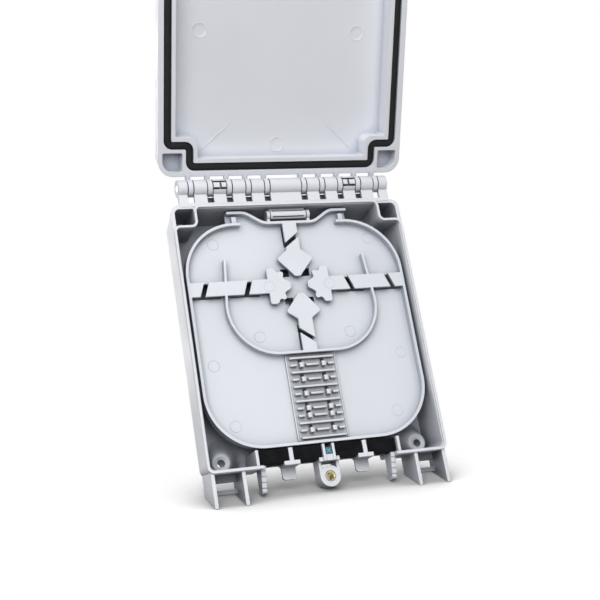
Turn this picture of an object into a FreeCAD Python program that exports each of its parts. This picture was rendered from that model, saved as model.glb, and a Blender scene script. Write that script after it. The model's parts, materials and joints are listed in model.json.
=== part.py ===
import FreeCAD, Part
import math
import os
import re

import Sketcher
from FreeCAD import Placement, Rotation, Vector

# Optical transition box: a wall box for fibre joints with a hinged lid and a swing-out splice cassette.
# X runs to the right, Y runs back into the wall, Z runs up.
# The back face lies on Y = 0, centred on the origin. All sizes are millimetres, angles are degrees.

STRAPS = 5
COMB_FULL_RIBS = (0, 2, 4, 6, 9, 11)
COMB_BROKEN_RIBS = (1, 3, 5, 7, 8, 10)
COMB_LAST = max(COMB_FULL_RIBS)
LUG_TEETH = 4
TOOTH_FACE = 0.8
TOOTH_BACK = 0.9

DIMENSIONS = [
    ("base_w", 140.0, "width of the base over its rim"),
    ("base_h", 154.0, "height of the base over its rim"),
    ("adapter_gap", 4.8, "room between the cassette and the adapter behind it"),
    ("base_d", "=tray_set + tray_d + tray_floor + adapter_gap + adapter_t + floor_t",
     "depth from the lip to the back face"),
    ("wall", 2.0, "wall of the base"),
    ("floor_t", 2.2, "floor of the base"),
    ("draft", 2.0, "how far each wall leans in from rim to back"),
    ("base_corner", 5.0, "rim corner radius"),
    ("back_edge", 1.2, "bevel round the back face"),
    ("lip_h", 1.2, "height of the sealing lip"),
    ("lip_t", 1.4, "thickness of the sealing lip"),
    ("lip_set", 1.0, "middle of the lip from the rim's outer edge"),
    ("pocket_w", 14.0, "corner pocket width to the middle of its wall"),
    ("pocket_h", 13.2, "corner pocket height to the middle of its wall"),
    ("pocket_wall", 1.6, "wall round a corner pocket"),
    ("pocket_bend", 3.2, "bend of the pocket wall and of the lip"),
    ("hinge_back", 3.0, "hinge axis behind the lip"),
    ("hinge_rise", 11.0, "hinge axis above the rim"),
    ("barrel_r", 5.0, "hinge barrel radius"),
    ("hinge_in", 5.8, "end of the row of barrels inside the rim"),
    ("barrel_half", "=base_w / 2 - hinge_in", "half length of the row of barrels"),
    ("strap_first", 11.35, "first hinge strap from the middle"),
    ("strap_end", 7.25, "last hinge strap from the end of the barrels"),
    ("strap_pitch", f"=(barrel_half - strap_end - strap_first) / {STRAPS - 1}",
     "pitch of the hinge straps"),
    ("strap_w", 2.7, "width of a hinge strap"),
    ("strap_gap", 0.6, "side clearance of a hinge strap"),
    ("pin_r", 1.9, "hinge pin radius"),
    ("pin_fit", 0.06, "radial clearance round a pin"),
    ("web_set", 1.0, "hinge web behind the lip"),
    ("web_t", 2.6, "hinge web thickness"),
    ("slot_foot", 1.2, "foot of the strap slots above the rim"),
    ("rib_in", 13.2, "end of the rib from the end of the barrels"),
    ("rib_half", "=barrel_half - rib_in", "half length of the rib behind the hinge web"),
    ("rib_set", 7.4, "rib behind the lip"),
    ("rib_t", 1.4, "rib thickness"),
    ("rib_h", 7.0, "rib height above the rim"),
    ("lid_over", 4.5, "lid overhang past the rim"),
    ("lid_d", 14.0, "lid depth"),
    ("lid_panel", 2.2, "lid panel thickness"),
    ("lid_draft", 1.5, "how far each lid wall leans in"),
    ("lid_corner", 9.0, "lid corner radius"),
    ("lid_skirt", 0.5, "lid rim behind the lip when closed"),
    ("lid_rest", 146.0, "opening angle of the lid as shown"),
    ("groove_w", 4.5, "gasket groove width"),
    ("groove_d", 3.8, "gasket groove depth"),
    ("inner_lip", 2.4, "ledge inside the groove"),
    ("gasket_set", 0.3, "gasket face in front of the lip when closed"),
    ("gasket_fit", 0.15, "play of the gasket in its groove"),
    ("seal_bend", 3.0, "bend of the gasket's middle line"),
    ("lid_pocket_wall", 2.0, "wall between gasket and lid pocket"),
    ("lid_pocket_d", 9.0, "depth of a lid pocket"),
    ("lid_rim", 2.6, "outer rim of the lid beside a pocket"),
    ("open_half", 38.8, "half width of the cable opening"),
    ("partition_out", 2.5, "middle of the wall beside the cable opening, outside it"),
    ("partition_x", "=open_half + partition_out", "middle of the wall beside the cable opening"),
    ("partition_t", 1.6, "wall beside the cable opening"),
    ("entry_h", 10.7, "top of the entry walls above the rim's foot"),
    ("entry_top", "=base_h / 2 - entry_h", "top of the entry walls below the middle"),
    ("entry_set", 3.4, "entry walls behind the lip"),
    ("tee_x", 21.6, "middle of an entry tee"),
    ("tee_post", 2.4, "thickness of an entry tee's post"),
    ("tee_half", 4.5, "half width of an entry tee's bar"),
    ("tee_bar", 2.2, "height of an entry tee's bar"),
    ("tee_foot", 1.4, "foot of an entry tee above the rim's foot"),
    ("tongue_w", 8.0, "width of a cable tongue"),
    ("tongue_drop", 8.0, "length of a cable tongue below the entry plate"),
    ("plate_set", 12.0, "entry plate behind the lip"),
    ("plate_t", 1.6, "entry plate thickness"),
    ("plate_foot", 2.7, "foot of the entry plate above the rim's foot"),
    ("recess_h", 5.0, "height of the recess behind the entry plate"),
    ("tongue_bend", 2.0, "bends of the cable tongues"),
    ("ear_half", 5.9, "half width of the screw ear"),
    ("ear_drop", 6.6, "screw axis below the rim"),
    ("ear_set", 6.5, "screw ear behind the lip"),
    ("ear_bar_set", 4.0, "bar of the screw ear behind the lip"),
    ("ear_t", 9.0, "thickness of the screw ear"),
    ("guard_x", 2.8, "middle of a guard post above the ear"),
    ("guard_t", 1.4, "thickness of a guard post"),
    ("guard_ahead", 0.8, "guard posts in front of the tees"),
    ("insert_r", 3.0, "brass insert radius"),
    ("insert_bore", 2.1, "brass insert bore radius"),
    ("insert_len", 8.0, "brass insert length"),
    ("lug_in", 0.8, "middle of a cable lug inside the opening's edge"),
    ("lug_x", "=open_half - lug_in", "middle of a cable lug"),
    ("lug_t", 2.7, "thickness of a cable lug"),
    ("lug_d", 9.5, "depth of a cable lug"),
    ("lug_set", 4.5, "cable lug behind the lip"),
    ("lug_lean", 3.5, "how far a cable lug's front leans back"),
    ("lug_drop", 12.2, "end of a cable lug below the rim's foot"),
    ("lug_hole", 0.9, "tie hole radius in a cable lug"),
    ("lug_tooth", 0.9, "depth of a cable lug's teeth"),
    ("foot_span", 17.0, "pitch of a foot's two plates"),
    ("foot_in", "=foot_out - foot_span", "middle of a foot's inner plate"),
    ("foot_side", 2.8, "outer foot plate inside the rim"),
    ("foot_out", "=base_w / 2 - foot_side", "middle of a foot's outer plate"),
    ("foot_t", 2.0, "thickness of a foot plate"),
    ("foot_front", 18.2, "drop of a foot plate at its front"),
    ("foot_back", 8.7, "drop of a foot plate at its back"),
    ("foot_d", 20.0, "depth of a foot plate"),
    ("foot_bar_set", 15.0, "cross bar of a foot behind the lip"),
    ("foot_bar_t", 2.4, "thickness of a foot's cross bar"),
    ("foot_bar_z", 9.0, "bottom of a foot's cross bar below the rim"),
    ("foot_bar_h", 2.4, "height of a foot's cross bar"),
    ("screw_r", 2.2, "wall screw hole radius"),
    ("screw_low_in", 11.8, "lower wall screws inside the rim"),
    ("screw_low_x", "=base_w / 2 - screw_low_in", "lower wall screws from the middle"),
    ("screw_low_up", 7.8, "lower wall screws above the rim's foot"),
    ("screw_low_z", "=base_h / 2 - screw_low_up", "lower wall screws below the middle"),
    ("screw_top_in", 7.6, "upper wall screws inside the rim"),
    ("screw_top_x", "=base_w / 2 - screw_top_in", "upper wall screws from the middle"),
    ("screw_top_down", 7.0, "upper wall screws below the rim's top"),
    ("screw_top_z", "=base_h / 2 - screw_top_down", "upper wall screws above the middle"),
    ("boss_low", 9.3, "height of a lower screw boss"),
    ("boss_top", 4.0, "height of an upper screw boss"),
    ("boss_r", 4.2, "screw boss radius at its top"),
    ("boss_flare", 2.0, "extra radius at the foot of a lower boss"),
    ("tray_side", 4.4, "cassette inside the rim at each side"),
    ("tray_half", "=base_w / 2 - tray_side", "half width of the cassette"),
    ("tray_drop", 10.6, "cassette below the rim's top"),
    ("tray_top", "=base_h / 2 - tray_drop", "top of the cassette rim above the middle"),
    ("tray_lift", 11.7, "cassette above the rim's foot"),
    ("tray_foot", "=base_h / 2 - tray_lift", "foot of the cassette rim below the middle"),
    ("tray_corner", 32.0, "corner radius of the cassette"),
    ("tray_rim", 1.6, "cassette wall"),
    ("tray_d", 4.2, "cassette wall height above its floor"),
    ("tray_floor", 1.6, "cassette floor"),
    ("tray_set", 4.0, "cassette rim behind the lip"),
    ("tray_gap", 30.0, "end of the cassette rim beside the tube entry"),
    ("brow_half", 36.2, "half length of the top wall over the tube entries"),
    ("brow_drop", 4.3, "top wall's raised ends below the rim's top"),
    ("brow_z", "=base_h / 2 - brow_drop", "top wall's raised ends above the middle"),
    ("brow_step", 6.9, "fall of the top wall from its ends to its middle"),
    ("brow_low", "=brow_z - brow_step", "top wall's flat middle above the middle"),
    ("brow_out", 26.0, "outer bend of the top wall"),
    ("brow_in", 15.6, "inner bend of the top wall"),
    ("brow_bend", 9.5, "bend radius of the top wall"),
    ("tube_post_x", 32.8, "middle of a tube post"),
    ("tube_post_w", 2.8, "width of a tube post"),
    ("tube_rise", 4.0, "tube post above the cassette's rim"),
    ("tube_post_top", "=tray_top + tube_rise", "top of a tube post above the middle"),
    ("fibre_lane", 18.0, "guide wall inside the cassette's side"),
    ("guide_half", "=tray_half - fibre_lane", "half width of the guide wall"),
    ("comb_foot", 3.66, "last comb rib above the cassette's foot"),
    ("comb_gap", 3.3, "first comb rib below the guide wall"),
    ("guide_low", f"=tray_foot - comb_foot - {COMB_LAST} * comb_pitch - comb_gap",
     "guide wall's flat below the middle"),
    ("guide_bend", 28.0, "bend of the guide wall"),
    ("guide_drop", 22.4, "guide wall's top below the cassette's top"),
    ("guide_top", "=tray_top - guide_drop", "top of the guide wall above the middle"),
    ("guide_lean", 5.6, "how far the guide wall's ends lean in"),
    ("guide_t", 1.4, "guide wall thickness"),
    ("arm_half", 4.2, "half width of a retaining arm"),
    ("arm_t", 1.6, "thickness of a retaining arm"),
    ("arm_z", 27.0, "middle of the side arms above the middle"),
    ("slit_w", 2.9, "slit in a retaining arm"),
    ("slit_lean", 3.5, "slant of a slit over an arm's width"),
    ("bridge_half", 1.1, "floor bridge under a side arm past the guide wall"),
    ("slot_over", 0.4, "floor slot past the edges of a side arm"),
    ("head_hole_in", 3.6, "inner side of a floor hole between two heads"),
    ("head_hole_out", 8.8, "outer side of a floor hole between two heads"),
    ("head_hole_low", 6.4, "near side of a floor hole from the side arms' line"),
    ("head_hole_high", 11.2, "far side of a floor hole from the side arms' line"),
    ("comb_half", 15.0, "half width of the splice comb"),
    ("comb_rib_in", 2.0, "end of a comb rib inside the plate's edge"),
    ("comb_rib_half", "=comb_half - comb_rib_in", "half length of a comb rib"),
    ("comb_rail", 1.0, "width of the comb plate's side rails"),
    ("comb_rail_h", 0.5, "height of the comb plate's side rails"),
    ("comb_top", "=guide_low + comb_gap", "top of the splice comb below the middle"),
    ("comb_pitch", 4.14, "pitch of the comb's ribs"),
    ("comb_edge", 1.3, "comb plate past its first and last rib"),
    ("comb_plate", 0.8, "comb plate"),
    ("comb_rib", 1.2, "comb rib thickness"),
    ("comb_h", 2.6, "comb rib height"),
    ("comb_post_x", 6.6, "middle of a comb post"),
    ("comb_post_w", 2.3, "width of a comb post"),
    ("comb_post_h", 3.2, "height of a comb post"),
    ("swing_rise", 4.8, "cassette hinge axis above the top wall"),
    ("swing_z", "=brow_low + swing_rise", "cassette hinge axis above the middle"),
    ("swing_set", 4.8, "cassette hinge axis behind the lip"),
    ("swing_pin", 1.4, "cassette hinge pin radius"),
    ("swing_eye", 2.7, "radius of the cassette's hinge ears and knuckle"),
    ("ear_x", 12.2, "middle of a cassette hinge ear"),
    ("swing_ear", 1.8, "thickness of a cassette hinge ear"),
    ("swing_play", 0.5, "side play of the cassette on its knuckle"),
    ("groove_rise", 1.75, "grooves of the knuckle above and below its pin"),
    ("groove_h", 0.6, "height of a knuckle groove"),
    ("groove_end", 1.2, "plain end of the knuckle beside its grooves"),
    ("rest_in", 13.6, "cassette rest post inside the cassette's side"),
    ("rest_x", "=tray_half - rest_in", "cassette rest post from the middle"),
    ("rest_up", 25.3, "cassette rest post above the cassette's foot"),
    ("rest_z", "=tray_foot - rest_up", "cassette rest post below the middle"),
    ("rest_r", 3.0, "cassette rest post radius"),
    ("foam_play", 0.3, "play of an entry seal"),
    ("foam_set", 3.9, "entry seal behind the lip"),
    ("plug_top", 1.9, "top of the plug below the entry walls' top"),
    ("plug_h", 3.9, "height of the plug"),
    ("plug_len", 5.0, "length of the plug"),
    ("adapter_l", 26.0, "fibre adapter length"),
    ("adapter_w", 12.8, "fibre adapter width"),
    ("adapter_t", 9.2, "fibre adapter thickness"),
    ("adapter_wall", 1.3, "fibre adapter wall"),
    ("adapter_z", 16.5, "fibre adapter above the middle"),
    ("adapter_key", 3.0, "width of the adapter's key slot"),
    ("sleeve_r", 1.6, "alignment sleeve outer radius"),
    ("sleeve_bore", 1.26, "alignment sleeve bore radius"),
    ("sleeve_len", 11.4, "alignment sleeve length"),
    ("latch_len", 9.6, "adapter latch length"),
    ("latch_wall", 1.1, "adapter latch wall"),
    ("latch_gap", 0.5, "gap between the two latches"),
    ("latch_eye", 2.6, "radius of a latch's middle tube"),
    ("clip_t", 0.3, "spring clip sheet"),
    ("clip_l", 9.0, "spring clip length"),
    ("rail_t", 1.4, "adapter rail thickness"),
    ("rail_l", 20.0, "adapter rail length"),
    ("rail_h", 5.0, "adapter rail height"),
    ("part_gap", 0.1, "play between loose fitting pieces"),
    ("shank_r", 2.0, "closing screw shank radius"),
    ("screw_head_r", 5.2, "closing screw head radius"),
    ("screw_head_h", 3.2, "closing screw head height"),
    ("screw_bite", 1.6, "closing screw length inside the insert when closed"),
    ("screw_slot", 1.2, "closing screw slot width"),
    ("screw_slot_d", 1.4, "closing screw slot depth"),
    ("boss_front", 2.6, "lid screw boss behind the lid panel's face"),
    ("washer_r", 3.4, "retaining washer radius"),
    ("washer_t", 0.9, "retaining washer thickness"),
    ("head_room", 0.5, "room round the closing screw's head and washer"),
    ("cut_over", 1.0, "how far a cut runs past a face"),
    ("press_fit", 0.02, "radial clearance of a pressed piece"),
    ("boss_draft", 0.2, "how far a boss widens to its foot"),
    ("lug_hole_up", 2.66, "tie hole above a cable lug's end"),
    ("snap_h", 1.2, "height of a snap window's slots"),
    ("snap_rise", 1.5, "snap slots above and below the hinge axis"),
    ("snap_share", 0.38, "share of a barrel's length before its snap window's cross slot"),
    ("hollow_bend", 1.5, "bend of the lid hollow's corners"),
    ("hollow_step", 4.5, "bend of the lid hollow's steps"),
    ("lid_pocket_bend", 1.0, "bend of a lid pocket's inner corners"),
    ("plug_bevel", 0.65, "bevel of the plug's upper edges"),
    ("key_l", 5.85, "length of the adapter's key slots"),
    ("comb_post_l", 2.76, "length of a comb post along the comb"),
    ("comb_break", 2.76, "half gap of a broken rib round its post"),
    ("head_bend", 1.4, "bends of an arm's head"),
    ("neck_top", 21.6, "neck of the top arm's head above the side arms' line"),
    ("neck_foot", 20.2, "neck of the foot arm's head below the side arms' line"),
    ("slit_in", 30.6, "inner slit of a side arm from the middle"),
    ("slit_end", 9.6, "outer slit of a side arm from the cassette's side"),
    ("slit_top", 27.8, "slit of the top arm above the side arms' line"),
    ("slit_foot", 30.4, "slit of the foot arm below the side arms' line"),
    ("post_side", 21.4, "post under a side arm's head from the middle"),
    ("post_top", 22.6, "post under the top arm's head above the side arms' line"),
    ("post_foot", 21.0, "post under the foot arm's head below the side arms' line"),
    ("post_long", 3.6, "length of a post under an arm's head"),
]

# Heads of the retaining arms: each point's distance from the middle plane and from the side arms' line
ARM_HEADS = {
    "side": [(18.6, 10.8), (14.2, 10.8), (12.6, 7.6), (8.0, 9.4), (9.6, 4.4), (5.2, 1.8)],
    "top": [(11.0, 16.2), (1.6, 5.4)],
    "foot": [(10.4, 15.8), (1.6, 5.0)],
}
for kind, points in ARM_HEADS.items():
    for i, (across, along) in enumerate(points):
        point = f"{kind} arm's head, point {i}"
        DIMENSIONS.append((f"{kind}_head_x{i}", across, f"{point} from the middle plane"))
        DIMENSIONS.append((f"{kind}_head_z{i}", along, f"{point} from the side arms' line"))

doc = FreeCAD.newDocument("transition_box")
sheet = doc.addObject("Spreadsheet::Sheet", "dims")
for row, (alias, value, note) in enumerate(DIMENSIONS, start=1):
    sheet.set(f"A{row}", note)
    sheet.setAlias(f"B{row}", alias)
for row, (alias, value, note) in enumerate(DIMENSIONS, start=1):
    sheet.set(f"B{row}", str(value))
doc.recompute()

ALIASES = {alias for alias, _, _ in DIMENSIONS}
FRONT = Rotation(Vector(1, 0, 0), 90)
SIDE = Rotation(Vector(1, 1, 1), 120)
ALONG = {"X": Rotation(Vector(0, 1, 0), 90), "Y": Rotation(Vector(1, 0, 0), -90), "Z": Rotation()}
BACKWARD = Vector(0, 1, 0)
RIGHTWARD = Vector(1, 0, 0)


def bound(text):
    """The expression with each named size turned into its cell."""
    return re.sub(r"[a-z]\w*", lambda m: "dims." + m[0] if m[0] in ALIASES else m[0], f"{text}")


def size(text):
    """The present value of an expression."""
    return float(sheet.evalExpression(bound(text)))


def bind(thing, **expressions):
    """Bind properties of an object to expressions, with x, y and z standing for its place."""
    for name, text in expressions.items():
        path = f"Placement.Base.{name}" if name in ("x", "y", "z") else name
        thing.setExpression(path, bound(text))
    return thing


def about(middle, half):
    """Span of a half width to each side of a middle."""
    return (f"{middle} - ({half})", f"{middle} + ({half})")


def even(half):
    """Span that is even about the middle plane."""
    return (f"-({half})", half)


def past(low, high):
    """Span of a cut, which runs past both faces."""
    return (f"{low} - cut_over", f"{high} + cut_over")


def opposite(corners):
    """Corners across the middle plane, in the other order."""
    return [(f"-({corner[0]})",) + corner[1:] for corner in reversed(corners)]


def box(name, x, y, z):
    """Box between two expressions along each axis."""
    made = doc.addObject("Part::Box", name)
    spans = {"Length": x, "Width": y, "Height": z}
    for prop, (low, high) in spans.items():
        bind(made, **{prop: f"({high}) - ({low})"})
    return bind(made, x=x[0], y=y[0], z=z[0])


def rod(name, axis, place, radius, span):
    """Cylinder along one axis; place gives the other two coordinates in order."""
    made = doc.addObject("Part::Cylinder", name)
    made.Placement = Placement(Vector(), ALONG[axis])
    bind(made, Radius=radius, Height=f"({span[1]}) - ({span[0]})")
    start = list(place)
    start.insert("XYZ".index(axis), span[0])
    return bind(made, x=start[0], y=start[1], z=start[2])


def cone(name, place, foot_radius, top_radius, span):
    """Cone along Y from the back towards the front."""
    made = doc.addObject("Part::Cone", name)
    made.Placement = Placement(Vector(), FRONT)
    height = f"({span[1]}) - ({span[0]})"
    bind(made, Radius1=foot_radius, Radius2=top_radius, Height=height)
    return bind(made, x=place[0], y=span[1], z=place[1])


def outline(name, corners, at, turn=FRONT, closed=True):
    """Sketch of straight runs through named corners, each rounded where it gives a radius.

    Each corner point is held by two bound distances, the runs pass through the corner points,
    and an arc of bound radius is tangent to both runs of a rounded corner.
    """
    sketch = doc.addObject("Sketcher::SketchObject", name)
    sketch.Placement = Placement(Vector(), turn)
    bind(sketch, **{"y" if turn == FRONT else "x": at})
    count = len(corners)
    points = [Vector(size(c[0]), size(c[1]), 0) for c in corners]
    radii = [size(c[2]) if len(c) > 2 else 0.0 for c in corners]
    steps = count if closed else count - 1
    starts = list(points)
    ends = list(points)
    arcs = {}
    for i in range(count):
        inner = closed or 0 < i < count - 1
        if not (inner and radii[i]):
            continue
        into = (points[i] - points[i - 1]).normalize()
        away = (points[(i + 1) % count] - points[i]).normalize()
        turn_angle = into.getAngle(away)
        reach = radii[i] * math.tan(turn_angle / 2)
        ends[i] = points[i] - into * reach
        starts[i] = points[i] + away * reach
        left = into.x * away.y - into.y * away.x > 0
        side = Vector(-into.y, into.x, 0) * (1 if left else -1)
        centre = ends[i] + side * radii[i]
        first, last = (ends[i], starts[i]) if left else (starts[i], ends[i])
        angle_a = math.atan2(first.y - centre.y, first.x - centre.x)
        angle_b = math.atan2(last.y - centre.y, last.x - centre.x)
        circle = Part.Circle(centre, Vector(0, 0, 1), radii[i])
        arcs[i] = (Part.ArcOfCircle(circle, angle_a, angle_b), left)
    lines = [Part.LineSegment(starts[i], ends[(i + 1) % count]) for i in range(steps)]
    runs = [sketch.addGeometry(line, False) for line in lines]
    held = []
    for i in range(count):
        before = runs[i - 1] if closed or i > 0 else None
        after = runs[i] if i < steps else None
        if i in arcs:
            arc = sketch.addGeometry(arcs[i][0], False)
            corner = sketch.addGeometry(Part.Point(points[i]), True)
            enter, leave = (1, 2) if arcs[i][1] else (2, 1)
            sketch.addConstraint([
                Sketcher.Constraint("PointOnObject", corner, 1, before),
                Sketcher.Constraint("PointOnObject", corner, 1, after),
                Sketcher.Constraint("Tangent", before, 2, arc, enter),
                Sketcher.Constraint("Tangent", arc, leave, after, 1),
            ])
            held.append((Sketcher.Constraint("Radius", arc, radii[i]), corners[i][2]))
            point = (corner, 1)
        elif after is None:
            point = (before, 2)
        else:
            if before is not None:
                sketch.addConstraint(Sketcher.Constraint("Coincident", before, 2, after, 1))
            point = (after, 1)
        held.append((Sketcher.Constraint("DistanceX", *point, points[i].x), corners[i][0]))
        held.append((Sketcher.Constraint("DistanceY", *point, points[i].y), corners[i][1]))
    for constraint, text in held:
        index = sketch.addConstraint(constraint)
        sketch.setExpression(f"Constraints[{index}]", bound(text))
    return sketch


def slab(name, profile, length, direction=BACKWARD):
    """Solid pulled from a flat profile along a direction."""
    made = doc.addObject("Part::Extrusion", name)
    made.Base = profile
    made.DirMode = "Custom"
    made.Dir = direction
    made.Solid = True
    return bind(made, LengthFwd=length)


def fence(name, path, thickness, length):
    """Upright wall of one thickness along an open path, with round ends."""
    face = doc.addObject("Part::Offset2D", name + "_plan")
    face.Source = path
    face.Mode = "Pipe"
    face.Fill = True
    bind(face, Value=f"({thickness}) / 2")
    return slab(name, face, length)


def skin(name, sections):
    """Solid with straight sides through flat sections in order."""
    made = doc.addObject("Part::Loft", name)
    made.Sections = sections
    made.Solid = True
    made.Ruled = True
    return made


def join(name, pieces):
    """Union of solids."""
    made = doc.addObject("Part::MultiFuse", name)
    made.Shapes = pieces
    made.Refine = True
    return made


def cut(name, body, tools):
    """A solid less the tools."""
    made = doc.addObject("Part::Cut", name)
    made.Base = body
    made.Tool = tools[0] if len(tools) == 1 else join(name + "_tools", tools)
    made.Refine = True
    return made


def within(name, thing, region):
    """The share of a solid that lies inside another."""
    made = doc.addObject("Part::Common", name)
    made.Base = thing
    made.Tool = region
    return made


def mirrored(thing):
    """Copy across the middle plane."""
    made = doc.addObject("Part::Mirroring", thing.Name + "_other")
    made.Source = thing
    made.Normal = RIGHTWARD
    return made


def both(thing):
    """A solid and its copy across the middle plane."""
    return [thing, mirrored(thing)]


def plate_corners(half, top, foot, radius):
    """Corners of a rounded rectangle that is even about the middle plane."""
    return [
        (f"-({half})", f"-({foot})", radius),
        (half, f"-({foot})", radius),
        (half, top, radius),
        (f"-({half})", top, radius),
    ]


def seal_corners(grow, convex, hollow):
    """Corners of the seal line moved outwards: a rectangle that steps in round the two upper pockets."""
    side = f"(base_w / 2 - lip_set + {grow})"
    top = f"(base_h / 2 - lip_set + {grow})"
    step_x = f"(base_w / 2 - pocket_w + {grow})"
    step_z = f"(base_h / 2 - pocket_h + {grow})"
    right = [
        (side, f"-{top}", convex),
        (side, step_z, convex),
        (step_x, step_z, hollow),
        (step_x, top, convex),
    ]
    return right + opposite(right)


def seal_ring(name, reach, bend, front, length):
    """Ring of twice the reach in width that follows the seal line."""
    outer = outline(name + "_outer", seal_corners(reach, f"{bend} + {reach}", f"{bend} - {reach}"), front)
    shrunk = seal_corners(f"0 - {reach}", f"{bend} - {reach}", f"{bend} + {reach}")
    inner = outline(name + "_inner", shrunk, f"{front} - cut_over")
    core = slab(name + "_core", inner, f"{length} + 2 * cut_over")
    return cut(name, slab(name + "_solid", outer, length), [core])


# Places that several pieces share
LIP_Y = "(-base_d)"
WALL_TOP_Y = "(lip_h - base_d)"
FLOOR_Y = "(-floor_t)"
AXIS_Y = "(hinge_back - base_d)"
AXIS_Z = "(base_h / 2 + hinge_rise)"
TRAY_Y = "(tray_set - base_d)"
TRAY_FLOOR_Y = "(tray_set + tray_d - base_d)"
TRAY_BACK_Y = "(tray_set + tray_d + tray_floor - base_d)"
SWING_Y = "(swing_set - base_d)"
ENTRY_Y = "(entry_set - base_d)"
ENTRY_FOOT = "(-base_h / 2)"
PLATE_Y = "(plate_set - base_d)"
PLUG_FOOT = "(-entry_top - plug_top - plug_h)"
EAR_Y = "(ear_set - base_d)"
EAR_Z = "(-base_h / 2 - ear_drop)"
LID_Y = "(lid_skirt - base_d)"
LID_FACE_Y = "(lid_skirt - base_d - lid_d)"
LID_HALF = "(base_w / 2 + lid_over)"
LID_TOP = "(base_h / 2 + lid_over)"
STRAP_X = [f"(strap_first + {i} * strap_pitch)" for i in range(STRAPS)]


def base_walls():
    """Drafted tray with a bevelled back, hollowed out from the front."""
    half = "base_w / 2"
    tall = "base_h / 2"

    def section(name, inset, corner, place):
        corners = plate_corners(f"{half} - {inset}", f"{tall} - {inset}", f"{tall} - {inset}", corner)
        return outline(name, corners, place)

    outside = [
        section("base_rim", "0", "base_corner", WALL_TOP_Y),
        section("base_low", "draft", "base_corner", "-back_edge"),
        section("base_back", "(draft + back_edge)", "base_corner - back_edge", "0"),
    ]
    inside = [
        section("hollow_rim", "wall", "base_corner - wall", f"{LIP_Y} - cut_over"),
        section("hollow_floor", "(wall + draft)", "base_corner - wall", FLOOR_Y),
    ]
    opening = box("cable_opening", even("open_half"), past(LIP_Y, "0"),
                  (f"{ENTRY_FOOT} - cut_over", f"{ENTRY_FOOT} + recess_h"))
    solid = skin("base_solid", outside)
    return solid, cut("base_tray", solid, [skin("base_hollow", inside), opening])


def base_lip():
    """Raised sealing lip on the seal line, open at the cable entries."""
    ring = seal_ring("lip_ring", "(lip_t / 2)", "pocket_bend", LIP_Y, "lip_h + wall")
    gap = box("lip_gap", even("open_half"), (f"{LIP_Y} - cut_over", f"{ENTRY_Y} + wall"),
              (f"{ENTRY_FOOT} - cut_over", f"{ENTRY_FOOT} + 2 * wall + draft"))
    return cut("base_lip", ring, [gap])


def pocket_walls(solid):
    """Bent wall round each upper corner pocket, from the floor to the lip."""
    path = outline("pocket_path", [
        ("base_w / 2 - wall / 2", "base_h / 2 - pocket_h"),
        ("base_w / 2 - pocket_w", "base_h / 2 - pocket_h", "pocket_bend"),
        ("base_w / 2 - pocket_w", "base_h / 2 - wall / 2"),
    ], WALL_TOP_Y, closed=False)
    bent = fence("pocket_fence", path, "pocket_wall", "base_d - lip_h - floor_t / 2")
    return both(within("pocket_side", bent, solid))


def entry_plate():
    """Plate behind the entry seals, with a tongue hanging under each tee and round bends at the roots."""
    foot = f"{ENTRY_FOOT} + plate_foot"
    low = f"{foot} - tongue_drop"
    near = "tee_x - tongue_w / 2"
    far = "tee_x + tongue_w / 2"
    half = [
        ("partition_x", "-entry_top"),
        ("partition_x", foot),
        (far, foot, "tongue_bend"),
        (far, low, "tongue_bend"),
        (near, low, "tongue_bend"),
        (near, foot, "tongue_bend"),
    ]
    line = outline("entry_plate_line", half + opposite(half), PLATE_Y)
    return slab("entry_plate", line, "plate_t")


def entry_walls(solid):
    """Partitions, tees and guard posts in the cable opening, and the raised bottom behind the plate."""
    tee_z = f"{ENTRY_FOOT} + tee_foot"
    depth = (ENTRY_Y, f"{PLATE_Y} + plate_t / 2")
    partition = box("partition_block", about("partition_x", "partition_t / 2"),
                    (f"{LIP_Y} + entry_set / 2", FLOOR_Y), (ENTRY_FOOT, "-entry_top"))
    post = box("tee_post_wall", about("tee_x", "tee_post / 2"), depth, (tee_z, "-entry_top"))
    bar = box("tee_bar_wall", about("tee_x", "tee_half"), depth, (tee_z, f"{tee_z} + tee_bar"))
    guard = box("guard_post", about("guard_x", "guard_t / 2"), (f"{ENTRY_Y} - guard_ahead", depth[1]),
                (tee_z, "-entry_top"))
    seat_front = f"{ENTRY_Y} - guard_ahead / 4"
    seat = box("plug_seat", even("guard_x"), (seat_front, depth[1]), (tee_z, PLUG_FOOT))
    bottom = box("raised_bottom", even("partition_x"), (PLATE_Y, "-back_edge / 2"),
                 (f"{ENTRY_FOOT} + recess_h", f"{ENTRY_FOOT} + recess_h + wall"))
    walls = [seat, bottom, entry_plate()] + both(within("partition", partition, solid))
    for wall in (post, bar, guard):
        walls += both(wall)
    return walls


def screw_ear():
    """Hanging ear: a bar, two legs and a ring, open between the bar and the ring."""
    tee_z = f"{ENTRY_FOOT} + tee_foot"
    deep = (EAR_Y, f"{EAR_Y} + ear_t")
    bar = box("ear_bar", even("ear_half"), (f"{LIP_Y} + ear_bar_set", f"{EAR_Y} + ear_t"),
              (tee_z, f"{tee_z} + tee_bar"))
    ring = rod("ear_ring", "Y", ("0", EAR_Z), "ear_half", deep)
    leg = box("ear_leg", ("ear_half - partition_t", "ear_half"), deep, (EAR_Z, f"{tee_z} + tee_bar / 2"))
    bore = rod("ear_bore", "Y", ("0", EAR_Z), "insert_r + pin_fit", past(*deep))
    return [cut("ear", join("ear_solid", [bar, ring] + both(leg)), [bore])]


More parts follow.
